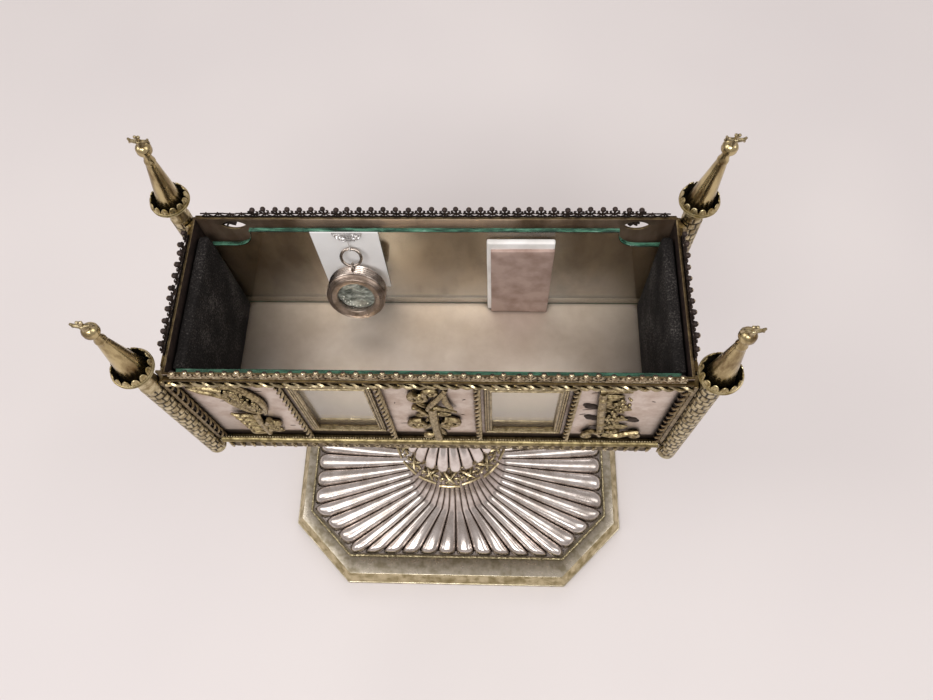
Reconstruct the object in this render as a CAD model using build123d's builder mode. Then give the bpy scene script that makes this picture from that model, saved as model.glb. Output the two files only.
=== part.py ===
from build123d import *
import os
from math import cos, radians, sin

os.makedirs("parts", exist_ok=True)

# A shrine-shaped reliquary casket of silver and gilt brass on a gadrooned foot, with a turret at
# each corner. Its roof lifts off and is not part of this model. Millimetres, +Z up, +X to the right
# seen from the front, origin at the centre of the foot's underside.

# Casket: outside size of the four upright sheets
casket_length = 282.0
casket_depth = 100.0
casket_bottom = 288.0
casket_height = 104.0
wall = 1.5

# Floor build-up inside the casket
base_plate_thickness = 2.0
board_thickness = 11.2
floor_sheet_thickness = 0.8

# Loose glass panes and the felt pads that keep them apart
pane_thickness = 3.0
pane_height = 88.5
pane_end_clearance = 4.5
front_pane_gap = 0.5
back_pane_gap = 3.5
pane_notch_length = 27.0
pane_notch_depth = 15.0
pane_notch_radius = 12.0
pad_thickness = 8.0
pad_height = 86.0
pad_clearance = 0.3

# Front bays, windows and upright ropes
bay_count = 5
rope_radius = 2.2
corner_rope_inset = 5.0
end_rope_inset = 2.3
window_width = 38.0
window_height = 66.0
window_sill = 20.0
frame_width = 4.5
frame_thickness = 1.8

# Mouldings round the casket
torus_radius = 2.8
torus_offset = 2.6
torus_height = 1.2
torus_cut = 1.0
bead_radius = 0.7
bead_height = torus_height + torus_radius + bead_radius
cornice_height = 96.7
fillet_height = 99.4
fillet_depth = 2.6
fillet_thickness = 2.6
gallery_sheet = 1.2
gallery_setback = 0.7
gallery_strip = 4.0
gallery_bead_radius = 1.7
gallery_total = 9.5
gallery_pitch = 7.0
scallop_pitch = 6.8
scallop_drop = 6.0

# Lens-shaped slots in the back sheet for the tongues of the roof
slot_width = 15.0
slot_height = 8.0
slot_spacing = 237.0
slot_level = 97.5
slot_margin = 3.0

# Foot
foot_length = 320.0
foot_depth = 214.7
foot_corner = 56.0
foot_edge = 4.0
foot_step = 7.0
foot_height = 14.5
foot_wall = 2.0
border_side = 17.0
border_front = 25.0
dome_corner = 42.0
dome_sheet = 1.5
wire_width = 2.2
neck_radius = 27.0
neck_top = 148.0
neck_plate = 3.0

# Stem
rod_radius = 3.0
rod_clearance = 0.2
washer_radius = 11.0
washer_thickness = 1.6
nut_size = 5.6
nut_height = 5.0
rod_end = 4.0
collar_radius = 48.5
collar_height = 6.5
collar_disc = 3.0
knop_radius = 40.0
knop_height = 54.0
stem_sheet = 1.6
trumpet_radius = 30.0
support_length = 130.0
support_width = 64.0
support_thickness = 4.0

# Turrets
tower_offset = 9.0
tower_offset_depth = 2.2
tower_radius = 6.0
saddle_clearance = 0.15
tower_bottom = 268.0
tower_top = 399.0
parapet_radius = 11.4
parapet_wall = 1.6
parapet_height = 11.5
parapet_floor = 3.5
spire_base = 7.6
spire_tip = 2.0
spire_clearance = 0.4
spire_height = 43.5
finial_clearance = 0.08
finial_ball = 4.3
cross_span = 11.0
cross_height = 8.5
cross_arm = 2.6
back_spire_lean = 5.0

# Relic capsule hanging at the back pane, and the papers beside it
capsule_radius = 18.3
capsule_thickness = 12.0
capsule_lean = 19.0
capsule_x = -50.4
capsule_clearance = 2.8
capsule_bore = 13.0
capsule_back = 1.5
bezel_thickness = 2.5
bezel_bore = 11.5
crystal_thickness = 1.5
relic_thickness = 3.5
ring_radius = 6.1
ring_wire = 0.9
loop_radius = 2.6
loop_wire = 0.9
ring_lean = 25.0
eye_radius = 1.5
eye_wire = 0.3
hook_clearance = 0.12
card_width = 40.0
card_height = 64.0
card_thickness = 0.5
card_x = -52.0
seal_radius = 9.0
packet_width = 40.5
packet_height = 83.0
packet_thickness = 6.0
packet_x = 51.5
packet_clearance = 0.3

# Levels and planes worked out from the sizes above
half_length = casket_length / 2
half_depth = casket_depth / 2
inside_length = half_length - wall
inside_depth = half_depth - wall
base_plate_bottom = casket_bottom - base_plate_thickness
floor_level = casket_bottom + board_thickness + floor_sheet_thickness
pane_half = inside_length - pane_end_clearance
front_pane_face = -inside_depth + front_pane_gap
back_pane_face = inside_depth - back_pane_gap - pane_thickness
pane_top = floor_level + pane_height
sill_level = casket_bottom + window_sill
tower_x = half_length + tower_offset
tower_y = half_depth + tower_offset_depth
corners = {
    "front_left": (-1, -1),
    "front_right": (1, -1),
    "back_left": (-1, 1),
    "back_right": (1, 1),
}


def finish(part, name):
    """Label a finished piece and write it as one STEP file."""
    part.label = name
    export_step(part, "parts/" + name + ".step")


# ---------------------------------------------------------------- foot

def octagon(half_x, half_y, corner):
    """Corner points of a rectangle with cut corners, centred on the sketch plane."""
    return [
        (half_x, half_y - corner), (half_x - corner, half_y),
        (corner - half_x, half_y), (-half_x, half_y - corner),
        (-half_x, corner - half_y), (corner - half_x, -half_y),
        (half_x - corner, -half_y), (half_x, corner - half_y),
    ]


dome_half_x = foot_length / 2 - border_side
dome_half_y = foot_depth / 2 - border_front
lap = wire_width + 0.5

# Stepped skirt and flat border of the foot, open underneath and inside the border
with BuildPart() as foot_rim:
    with BuildSketch():
        Polygon(*octagon(foot_length / 2, foot_depth / 2, foot_corner), align=None)
    extrude(amount=foot_edge)
    slope_half_x = foot_length / 2 - foot_step
    slope_half_y = foot_depth / 2 - foot_step
    slope_corner = foot_corner - 0.59 * foot_step
    with BuildSketch(Plane.XY.offset(foot_edge)):
        Polygon(*octagon(foot_length / 2 - 1, foot_depth / 2 - 1, foot_corner - 0.59), align=None)
    with BuildSketch(Plane.XY.offset(foot_height)):
        Polygon(*octagon(slope_half_x, slope_half_y, slope_corner), align=None)
    loft(ruled=True)
    with BuildSketch():
        Polygon(*octagon(dome_half_x - lap, dome_half_y - lap, dome_corner - lap), align=None)
    extrude(amount=foot_height, mode=Mode.SUBTRACT)
    hollow_x = slope_half_x - foot_wall
    hollow_y = slope_half_y - foot_wall
    with BuildSketch():
        Polygon(*octagon(hollow_x, hollow_y, slope_corner - foot_wall), align=None)
    extrude(amount=foot_height - foot_wall, mode=Mode.SUBTRACT)
finish(foot_rim.part, "foot_rim")

# Milled wire that covers the joint between border and dome
with BuildPart() as foot_rope_wire:
    with BuildSketch(Plane.XY.offset(foot_height)):
        Polygon(*octagon(dome_half_x + wire_width, dome_half_y + wire_width,
                         dome_corner + 0.59 * wire_width), align=None)
        Polygon(*octagon(dome_half_x, dome_half_y, dome_corner), align=None, mode=Mode.SUBTRACT)
    extrude(amount=wire_width)
finish(foot_rope_wire.part, "foot_rope_wire")


def dome_solid(inset, drop, top):
    """Dome and neck of the foot as one solid, smaller all over by inset and lower by drop."""
    with BuildPart() as body:
        with BuildSketch(Plane.XY.offset(foot_height)):
            Polygon(*octagon(dome_half_x - inset, dome_half_y - inset,
                             dome_corner - 0.59 * inset), align=None)
        with BuildSketch(Plane.XY.offset(foot_height + 8 - drop)):
            Polygon(*octagon(dome_half_x - inset - 5, dome_half_y - inset - 5,
                             dome_corner - 0.59 * (inset + 5)), align=None)
        loft(ruled=True)
        with BuildSketch(Plane.XY.offset(foot_height + 8 - drop)):
            Polygon(*octagon(dome_half_x - inset - 5, dome_half_y - inset - 5,
                             dome_corner - 0.59 * (inset + 5)), align=None)
        with BuildSketch(Plane.XY.offset(46 - drop)):
            Circle(46 - inset)
        loft()
        with BuildSketch(Plane.XZ):
            with BuildLine():
                neck = Spline((46 - inset, 46 - drop), (34 - inset, 68 - drop),
                              (neck_radius - inset, 110), (neck_radius + 3 - inset, top))
                Polyline(neck @ 1, (0, top), (0, 46 - drop), neck @ 0)
            make_face()
        revolve(axis=Axis.Z)
    return body.part


# Gadrooned dome of the foot with its waisted neck: a hollow sheet shell, closed at the top by a plate
with BuildPart() as foot_dome:
    add(dome_solid(0, 0, neck_top))
    add(dome_solid(dome_sheet, 1.5 * dome_sheet, neck_top - neck_plate), mode=Mode.SUBTRACT)
    with Locations((0, 0, neck_top)):
        Hole(rod_radius + rod_clearance)
finish(foot_dome.part, "foot_dome")

# ---------------------------------------------------------------- stem

collar_bottom = neck_top
knop_bottom = collar_bottom + collar_disc
trumpet_bottom = knop_bottom + knop_height
support_bottom = base_plate_bottom - support_thickness
washer_top = neck_top - neck_plate
nut_top = washer_top - washer_thickness
rod_bottom = nut_top - nut_height - rod_end
rod_top = casket_bottom + nut_height + 2.0

# Iron tie rod that holds foot, knop, neck and casket together
with BuildPart() as tie_rod:
    with BuildSketch(Plane.XY.offset(rod_bottom)):
        Circle(rod_radius)
    extrude(amount=rod_top - rod_bottom)
finish(tie_rod.part, "tie_rod")

# Washer under the neck plate
with BuildPart() as stem_washer:
    with BuildSketch(Plane.XY.offset(nut_top)):
        Circle(washer_radius)
        Circle(rod_radius + rod_clearance, mode=Mode.SUBTRACT)
    extrude(amount=washer_thickness)
finish(stem_washer.part, "stem_washer")

# Hexagon nuts at the two ends of the rod
with BuildPart() as rod_nuts:
    for level in (nut_top - nut_height, casket_bottom):
        with BuildSketch(Plane.XY.offset(level)):
            RegularPolygon(nut_size, 6)
            Circle(rod_radius, mode=Mode.SUBTRACT)
        extrude(amount=nut_height)
finish(rod_nuts.part, "rod_nuts")

# Gilt foliage collar: a dished disc between foot and knop
with BuildPart() as foliage_collar:
    with BuildSketch(Plane.XZ):
        with BuildLine():
            Polyline((rod_radius + rod_clearance, collar_bottom), (collar_radius - 12, collar_bottom),
                     (collar_radius, collar_bottom + collar_height - 2.5),
                     (collar_radius - 1.5, collar_bottom + collar_height),
                     (collar_radius - 13, collar_bottom + collar_disc),
                     (rod_radius + rod_clearance, collar_bottom + collar_disc), close=True)
        make_face()
    revolve(axis=Axis.Z)
finish(foliage_collar.part, "foliage_collar")


def turned_shell(profile, bottom, top):
    """Hollow turned piece with end plates, from outside points given as radius and height."""
    inner = [(max(r - stem_sheet, rod_radius + 3), z) for r, z in profile[1:-1]]
    with BuildPart() as shell:
        with BuildSketch(Plane.XZ):
            with BuildLine():
                side = Spline(*profile)
                Polyline(side @ 1, (0, top), (0, bottom), side @ 0)
            make_face()
        revolve(axis=Axis.Z)
        with BuildSketch(Plane.XZ):
            with BuildLine():
                side = Spline(*inner)
                Polyline(side @ 1, (0, inner[-1][1]), (0, inner[0][1]), side @ 0)
            make_face()
        revolve(axis=Axis.Z, mode=Mode.SUBTRACT)
        with Locations((0, 0, top)):
            Hole(rod_radius + rod_clearance)
    return shell.part


# Silver gadrooned knop, widest low down
knop_profile = [
    (22.0, knop_bottom),
    (30.0, knop_bottom + 4.0),
    (knop_radius, knop_bottom + 13.0),
    (knop_radius - 8.0, knop_bottom + 30.0),
    (19.0, knop_bottom + knop_height - 6.0),
    (15.0, trumpet_bottom),
]
knop = turned_shell(knop_profile, knop_bottom, trumpet_bottom)
finish(knop, "knop")

# Trumpet-shaped neck that spreads under the casket
trumpet_profile = [
    (15.0, trumpet_bottom),
    (12.5, trumpet_bottom + 6.0),
    (13.5, trumpet_bottom + 38.0),
    (trumpet_radius - 4.0, support_bottom - 6.0),
    (trumpet_radius, support_bottom),
]
upper_neck = turned_shell(trumpet_profile, trumpet_bottom, support_bottom)
finish(upper_neck, "upper_neck")

# Plate that spreads the casket's weight on the neck
with BuildPart() as support_plate:
    with BuildSketch(Plane.XY.offset(support_bottom)):
        RectangleRounded(support_length, support_width, support_width / 4)
        Circle(rod_radius + rod_clearance, mode=Mode.SUBTRACT)
    extrude(amount=support_thickness)
finish(support_plate.part, "support_plate")

# ---------------------------------------------------------------- casket

# Base plate of the casket
with BuildPart() as base_plate:
    with BuildSketch(Plane.XY.offset(base_plate_bottom)):
        Rectangle(casket_length, casket_depth)
        Circle(rod_radius + rod_clearance, mode=Mode.SUBTRACT)
    extrude(amount=base_plate_thickness)
finish(base_plate.part, "base_plate")

# Wooden board inside the base, with a pocket for the upper nut
with BuildPart() as floor_board:
    with BuildSketch(Plane.XY.offset(casket_bottom)):
        Rectangle(2 * inside_length, 2 * inside_depth)
    extrude(amount=board_thickness)
    with BuildSketch(Plane.XY.offset(casket_bottom)):
        Circle(nut_size + 2)
    extrude(amount=nut_height + 4, mode=Mode.SUBTRACT)
finish(floor_board.part, "floor_board")

# Satin silver sheet that lines the floor
with BuildPart() as floor_sheet:
    with BuildSketch(Plane.XY.offset(casket_bottom + board_thickness)):
        Rectangle(2 * inside_length, 2 * inside_depth)
    extrude(amount=floor_sheet_thickness)
finish(floor_sheet.part, "floor_sheet")

# Bay centres: the windows stand in the second and fourth of the five front bays
rope_span = casket_length - 2 * corner_rope_inset
bay = rope_span / bay_count
window_centres = (-bay, bay)
divider_centres = (-1.5 * bay, -0.5 * bay, 0.5 * bay, 1.5 * bay)

# Front sheet with the two window openings
front_plane = Plane(origin=(0, -inside_depth, 0), x_dir=(1, 0, 0), z_dir=(0, -1, 0))
with BuildPart() as front_wall:
    with BuildSketch(front_plane):
        with Locations((0, casket_bottom + casket_height / 2)):
            Rectangle(casket_length, casket_height)
        for centre in window_centres:
            with Locations((centre, sill_level + window_height / 2)):
                Rectangle(window_width, window_height, mode=Mode.SUBTRACT)
    extrude(amount=wall)
finish(front_wall.part, "front_wall")

# Back sheet with two lens-shaped slots
back_plane = Plane(origin=(0, inside_depth, 0), x_dir=(-1, 0, 0), z_dir=(0, 1, 0))
slot_z = casket_bottom + slot_level
with BuildPart() as back_wall:
    with BuildSketch(back_plane):
        with Locations((0, casket_bottom + casket_height / 2)):
            Rectangle(casket_length, casket_height)
        for centre in (-slot_spacing / 2, slot_spacing / 2):
            with BuildLine():
                ends = ((centre - slot_width / 2, slot_z), (centre + slot_width / 2, slot_z))
                ThreePointArc(ends[0], (centre, slot_z + slot_height / 2), ends[1])
                ThreePointArc(ends[1], (centre, slot_z - slot_height / 2), ends[0])
            make_face(mode=Mode.SUBTRACT)
    extrude(amount=wall)
finish(back_wall.part, "back_wall")

# End sheets, fitted between front and back
for side_name, side in (("left", -1), ("right", 1)):
    end_plane = Plane(origin=(side * inside_length, 0, 0), x_dir=(0, side, 0), z_dir=(side, 0, 0))
    with BuildPart() as end_wall:
        with BuildSketch(end_plane):
            with Locations((0, casket_bottom + casket_height / 2)):
                Rectangle(2 * inside_depth, casket_height)
        extrude(amount=wall)
    finish(end_wall.part, side_name + "_wall")

# Loose front pane behind the windows
front_pane_plane = Plane(origin=(0, front_pane_face, 0), x_dir=(-1, 0, 0), z_dir=(0, 1, 0))
with BuildPart() as front_pane:
    with BuildSketch(front_pane_plane):
        with Locations((0, floor_level + pane_height / 2)):
            Rectangle(2 * pane_half, pane_height)
    extrude(amount=pane_thickness)
finish(front_pane.part, "front_pane")

# Loose back pane, its top corners cut down in a curve to leave the slots free
back_pane_plane = Plane(origin=(0, back_pane_face, 0), x_dir=(-1, 0, 0), z_dir=(0, 1, 0))
with BuildPart() as back_pane:
    with BuildSketch(back_pane_plane):
        with Locations((0, floor_level + pane_height / 2)):
            Rectangle(2 * pane_half, pane_height)
        for side in (-1, 1):
            shoulder = pane_half - pane_notch_length
            low = pane_top - pane_notch_depth
            with BuildLine():
                Polyline((side * shoulder, pane_top), (side * pane_half, pane_top),
                         (side * pane_half, low), (side * (shoulder + pane_notch_radius), low))
                JernArc(start=(side * (shoulder + pane_notch_radius), low), tangent=(-side, 0),
                        radius=pane_notch_radius, arc_size=-90 * side)
                Line((side * shoulder, low + pane_notch_radius), (side * shoulder, pane_top))
            make_face(mode=Mode.SUBTRACT)
    extrude(amount=pane_thickness)
finish(back_pane.part, "back_pane")

# Felt-covered end pads between the two panes
pad_front = front_pane_face + pane_thickness + pad_clearance
pad_back = back_pane_face - pad_clearance
for side_name, side in (("left", -1), ("right", 1)):
    pad_plane = Plane(origin=(side * inside_length, 0, 0), x_dir=(0, -side, 0), z_dir=(-side, 0, 0))
    with BuildPart() as pad:
        with BuildSketch(pad_plane):
            with Locations((-side * (pad_front + pad_back) / 2, floor_level + pad_height / 2)):
                Rectangle(pad_back - pad_front, pad_height)
        extrude(amount=pad_thickness)
    finish(pad.part, side_name + "_pad")

# ---------------------------------------------------------------- window frames and ropes

frame_plane = Plane(origin=(0, -half_depth, 0), x_dir=(1, 0, 0), z_dir=(0, -1, 0))
for side_name, centre in (("left", window_centres[0]), ("right", window_centres[1])):
    with BuildPart() as window_frame:
        with BuildSketch(frame_plane):
            with Locations((centre, sill_level + window_height / 2)):
                Rectangle(window_width + 2 * frame_width, window_height + 2 * frame_width)
                Rectangle(window_width, window_height, mode=Mode.SUBTRACT)
        extrude(amount=frame_thickness)
        chamfer(window_frame.faces().sort_by(Axis.Y)[0].edges(), length=0.6)
    finish(window_frame.part, side_name + "_window_frame")

# Upright twisted ropes: four dividers and the two at the ends of the front
rope_bottom = casket_bottom + bead_height + bead_radius + 0.3
rope_top = casket_bottom + cornice_height - rope_radius - 0.3
end_rope_x = half_length - end_rope_inset
rope_x = [-end_rope_x, *divider_centres, end_rope_x]
with BuildPart() as front_ropes:
    with BuildSketch(Plane.XY.offset(rope_bottom)):
        for x in rope_x:
            with Locations((x, -half_depth - rope_radius)):
                Circle(rope_radius)
    extrude(amount=rope_top - rope_bottom)
finish(front_ropes.part, "front_ropes")

with BuildPart() as back_ropes:
    with BuildSketch(Plane.XY.offset(rope_bottom)):
        for x in rope_x:
            with Locations((x, half_depth + rope_radius)):
                Circle(rope_radius)
    extrude(amount=rope_top - rope_bottom)
finish(back_ropes.part, "back_ropes")

# ---------------------------------------------------------------- mouldings on all four sides

post_start = half_depth - 4.5
side_run = 2 * (post_start - 1.0)


def side_planes():
    """Vertical planes on the four walls, x along the wall and z outwards, with each run's length."""
    return [
        (Plane(origin=(0, -half_depth, 0), x_dir=(1, 0, 0), z_dir=(0, -1, 0)), casket_length),
        (Plane(origin=(0, half_depth, 0), x_dir=(-1, 0, 0), z_dir=(0, 1, 0)), casket_length),
        (Plane(origin=(-half_length, 0, 0), x_dir=(0, -1, 0), z_dir=(-1, 0, 0)), side_run),
        (Plane(origin=(half_length, 0, 0), x_dir=(0, 1, 0), z_dir=(1, 0, 0)), side_run),
    ]


def end_plane_of(plane, run, level):
    """Plane at the left end of a wall run: its x points away from the wall and its y up."""
    start = plane.from_local_coords((-run / 2, level, 0))
    return Plane(origin=start, x_dir=-plane.z_dir, z_dir=plane.x_dir)


# Half-round base moulding, standing a little out from the wall and flat below
with BuildPart() as base_torus:
    for plane, run in side_planes():
        with BuildSketch(end_plane_of(plane, run, casket_bottom + torus_height)) as section:
            with Locations((-torus_offset, 0)):
                Circle(torus_radius)
            with Locations((-torus_offset / 2, 0)):
                Rectangle(torus_offset, 2 * torus_radius)
            with Locations((torus_radius, 0)):
                Rectangle(2 * torus_radius, 2 * torus_radius, mode=Mode.SUBTRACT)
            with Locations((-torus_offset, -torus_cut - torus_radius)):
                Rectangle(4 * torus_radius, 2 * torus_radius, mode=Mode.SUBTRACT)
        extrude(amount=run)
finish(base_torus.part, "base_torus")

# Fine beaded wire along the top of it
with BuildPart() as base_bead_wire:
    for plane, run in side_planes():
        with BuildSketch(end_plane_of(plane, run, casket_bottom + bead_height)):
            with Locations((-torus_offset, 0)):
                Circle(bead_radius)
        extrude(amount=run)
finish(base_bead_wire.part, "base_bead_wire")

# Row of scallops that hangs from the flat underside of the base moulding
with BuildPart() as base_scallops:
    for plane, run in side_planes():
        strip_bottom = base_plate_bottom - scallop_drop + scallop_pitch / 2
        strip_top = casket_bottom + torus_height - torus_cut
        count = int((run - 4) / scallop_pitch)
        with BuildSketch(plane.offset(torus_offset + torus_radius * 0.9 - gallery_sheet)):
            with Locations((0, (strip_bottom + strip_top) / 2)):
                Rectangle(count * scallop_pitch, strip_top - strip_bottom)
            with Locations((0, strip_bottom)):
                with GridLocations(scallop_pitch, 1, count, 1):
                    Circle(scallop_pitch / 2 - 0.05)
        extrude(amount=gallery_sheet)
finish(base_scallops.part, "base_scallops")

# Twisted rope under the rim; at the back it is cut away where the roof's tongues come through
with BuildPart() as cornice_rope:
    for index, (plane, run) in enumerate(side_planes()):
        cuts = [-run / 2, run / 2]
        if index == 1:
            inner = slot_spacing / 2 - slot_width / 2 - slot_margin
            outer = slot_spacing / 2 + slot_width / 2 + slot_margin
            cuts = [-run / 2, -outer, -inner, inner, outer, run / 2]
        for first, last in zip(cuts[0::2], cuts[1::2]):
            start = plane.from_local_coords((first, casket_bottom + cornice_height, rope_radius))
            with BuildSketch(Plane(origin=start, x_dir=-plane.z_dir, z_dir=plane.x_dir)):
                Circle(rope_radius)
            extrude(amount=last - first)
finish(cornice_rope.part, "cornice_rope")

# Plain fillet that carries the gallery
with BuildPart() as cornice_fillet:
    for plane, run in side_planes():
        with BuildSketch(plane):
            with Locations((0, casket_bottom + fillet_height + fillet_thickness / 2)):
                Rectangle(run, fillet_thickness)
        extrude(amount=fillet_depth)
finish(cornice_fillet.part, "cornice_fillet")

# Pierced gallery of beads on stalks along each side; the back one has lost beads at both ends
gallery_bottom = casket_bottom + fillet_height + fillet_thickness
bead_level = gallery_bottom + gallery_total - gallery_bead_radius
gallery_names = ("front", "back", "left", "right")
lost_beads = {"front": (0, 0), "back": (2, 4), "left": (0, 0), "right": (0, 0)}
for name, (plane, run) in zip(gallery_names, side_planes()):
    length = run - 6
    count = int(length / gallery_pitch)
    lost_first, lost_last = lost_beads[name]
    start = -(count - 1) / 2 * gallery_pitch
    shifted = plane.offset(gallery_setback)
    with BuildPart() as gallery:
        with BuildSketch(shifted):
            with Locations((0, gallery_bottom + gallery_strip / 2)):
                Rectangle(length, gallery_strip)
            for step in range(lost_first, count - lost_last):
                with Locations((start + step * gallery_pitch, (gallery_bottom + bead_level) / 2)):
                    Rectangle(1.4, bead_level - gallery_bottom)
                with Locations((start + step * gallery_pitch, bead_level)):
                    Circle(gallery_bead_radius)
        extrude(amount=gallery_sheet)
    finish(gallery.part, "gallery_" + name)

# ---------------------------------------------------------------- cast ornaments on the front

ornament_thickness = 3.0
ornament_plane = Plane(origin=(0, -half_depth, 0), x_dir=(1, 0, 0), z_dir=(0, -1, 0))
panel_middle = (rope_bottom + rope_top) / 2

# Left panel: a leaning oval cluster of fruit on a foliage foot
with BuildPart() as left_ornament:
    with BuildSketch(ornament_plane):
        with Locations(Location((-2 * bay, panel_middle + 6, 0), (0, 0, 28))):
            Ellipse(9, 20)
        with Locations((-2 * bay + 8, panel_middle - 16)):
            Ellipse(12, 7)
        with Locations((-2 * bay - 7, panel_middle + 24)):
            Ellipse(5, 11)
    extrude(amount=ornament_thickness)
finish(left_ornament.part, "left_ornament")

# Middle panel: opposed scrolls about a stem
with BuildPart() as middle_ornament:
    with BuildSketch(ornament_plane):
        with Locations((0, panel_middle)):
            Ellipse(6, 32)
        with Locations((0, panel_middle + 14)):
            Ellipse(12, 8)
        with Locations((0, panel_middle - 16)):
            Ellipse(15, 9)
    extrude(amount=ornament_thickness)
finish(middle_ornament.part, "middle_ornament")

# Right panel: an upright leafy staff on two scroll feet
with BuildPart() as right_ornament:
    with BuildSketch(ornament_plane):
        with Locations((2 * bay, panel_middle + 4)):
            Ellipse(9, 28)
        with Locations((2 * bay - 9, panel_middle - 24), (2 * bay + 9, panel_middle - 24)):
            Ellipse(9, 6)
    extrude(amount=ornament_thickness)
finish(right_ornament.part, "right_ornament")

# ---------------------------------------------------------------- turrets

# Upright saddle strips that join each turret to its corner of the casket
with BuildPart() as corner_saddles:
    for side_x, side_y in corners.values():
        with BuildSketch(Plane.XY.offset(casket_bottom)):
            with Locations((side_x * (half_length + 3.0), side_y * (half_depth - 0.75))):
                Rectangle(6.0, 7.5)
            with Locations((side_x * tower_x, side_y * tower_y)):
                Circle(tower_radius + saddle_clearance, mode=Mode.SUBTRACT)
        extrude(amount=fillet_height)
finish(corner_saddles.part, "corner_saddles")

parapet_bottom = tower_top
parapet_top = parapet_bottom + parapet_height
spire_bottom = parapet_bottom + parapet_floor
ball_level = spire_height + finial_ball * 0.85
lip_height = 2.2
lip_count = 8
spire_planes = []

for name, (side_x, side_y) in corners.items():
    axis_point = (side_x * tower_x, side_y * tower_y)

    # Tube with masonry courses and a rounded closed end
    with BuildPart() as tower_tube:
        with BuildSketch(Plane.XZ.offset(-axis_point[1])):
            with BuildLine():
                low = tower_bottom + tower_radius
                Line((axis_point[0], tower_bottom), (axis_point[0], tower_top))
                Line((axis_point[0], tower_top), (axis_point[0] + tower_radius, tower_top))
                Line((axis_point[0] + tower_radius, tower_top), (axis_point[0] + tower_radius, low))
                RadiusArc((axis_point[0] + tower_radius, low), (axis_point[0], tower_bottom), tower_radius)
            make_face()
        revolve(axis=Axis((axis_point[0], axis_point[1], 0), (0, 0, 1)))
    finish(tower_tube.part, "tower_tube_" + name)

    # Cup-shaped parapet with a notched lip
    with BuildPart() as parapet:
        with BuildSketch(Plane.XZ.offset(-axis_point[1])):
            with BuildLine():
                x = axis_point[0]
                outer = parapet_radius
                inner = parapet_radius - parapet_wall
                Polyline((x, parapet_bottom), (x + tower_radius + 1, parapet_bottom),
                         (x + outer, parapet_top - 4.5), (x + outer, parapet_top - lip_height),
                         (x + inner + 0.6, parapet_top), (x + inner, parapet_top),
                         (x + inner, parapet_top - 4.0), (x + spire_base + spire_clearance, spire_bottom),
                         (x, spire_bottom), close=True)
            make_face()
        revolve(axis=Axis((axis_point[0], axis_point[1], 0), (0, 0, 1)))
        with BuildSketch(Plane.XY.offset(parapet_top - lip_height)):
            with Locations(axis_point):
                with PolarLocations(inner + 0.3, lip_count):
                    Rectangle(3.0, 1.6)
        extrude(amount=lip_height, mode=Mode.SUBTRACT)
    finish(parapet.part, "parapet_" + name)

    # Conical spire; the two at the back lean to the right
    lean = back_spire_lean if side_y > 0 else 0.0
    lift = spire_base * sin(radians(lean))
    spire_plane = Plane(origin=(axis_point[0], axis_point[1], spire_bottom + lift),
                        x_dir=(cos(radians(lean)), 0, -sin(radians(lean))),
                        z_dir=(sin(radians(lean)), 0, cos(radians(lean))))
    spire_planes.append(spire_plane)
    with BuildPart() as spire:
        with BuildSketch(spire_plane):
            Circle(spire_base)
        with BuildSketch(spire_plane.offset(spire_height)):
            Circle(spire_tip)
        loft()
        with BuildSketch(spire_plane.offset(spire_height * 0.86)):
            Circle(spire_tip + 1.1)
        extrude(amount=1.4)
    finish(spire.part, "spire_" + name)

# Ball and cross on each spire's tip, one casting each
arm_width = cross_arm * 0.7
with BuildPart() as finials:
    for spire_plane in spire_planes:
        arm_plane = Plane(origin=spire_plane.from_local_coords((0, cross_arm * 0.4, 0)),
                          x_dir=spire_plane.x_dir, z_dir=-spire_plane.y_dir)
        with BuildSketch(arm_plane):
            with Locations((0, ball_level + finial_ball + cross_height / 2 - 1.2)):
                Rectangle(arm_width, cross_height)
            with Locations((0, ball_level + finial_ball + cross_height / 2 + 0.2)):
                Rectangle(cross_span, arm_width)
        extrude(amount=cross_arm * 0.8)
        with Locations(spire_plane.offset(ball_level)):
            Sphere(finial_ball)
        with BuildSketch(spire_plane.offset(ball_level - finial_ball)):
            Circle(spire_tip + finial_clearance)
        extrude(amount=spire_height - ball_level + finial_ball, mode=Mode.SUBTRACT)
finish(finials.part, "finials")

# ---------------------------------------------------------------- relic capsule

card_face = back_pane_face - card_thickness
lean = radians(capsule_lean)
capsule_normal = Vector(0, -cos(lean), sin(lean))
capsule_up = Vector(0, sin(lean), cos(lean))
front_y = card_face - capsule_clearance - capsule_thickness * cos(lean) - capsule_radius * sin(lean)
capsule_front = Vector(capsule_x, front_y, floor_level + 44.4)
capsule_plane = Plane(origin=capsule_front - capsule_normal * capsule_thickness,
                      x_dir=(1, 0, 0), z_dir=capsule_normal)

# Ribbed drum with a closed back, and the loop on its rim
loop_reach = capsule_radius + loop_radius
with BuildPart() as capsule_case:
    with BuildSketch(capsule_plane):
        Circle(capsule_radius)
    extrude(amount=capsule_thickness - bezel_thickness)
    with BuildSketch(capsule_plane.offset(capsule_back)):
        Circle(capsule_bore)
    extrude(amount=capsule_thickness, mode=Mode.SUBTRACT)
    loop_origin = capsule_front - capsule_normal * (capsule_thickness / 2) + capsule_up * loop_reach
    loop_plane = Plane(origin=loop_origin, x_dir=capsule_up, z_dir=(1, 0, 0))
    with BuildSketch(loop_plane.offset(-loop_wire)):
        Circle(loop_radius + loop_wire * 0.6)
        Circle(loop_radius - loop_wire * 0.6, mode=Mode.SUBTRACT)
    extrude(amount=2 * loop_wire)
finish(capsule_case.part, "capsule_case")

# Relic bed of grey paper and tiny beads
with BuildPart() as relic_bed:
    with BuildSketch(capsule_plane.offset(capsule_back)):
        Circle(capsule_bore - 0.3)
    extrude(amount=relic_thickness)
finish(relic_bed.part, "relic_bed")

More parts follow.
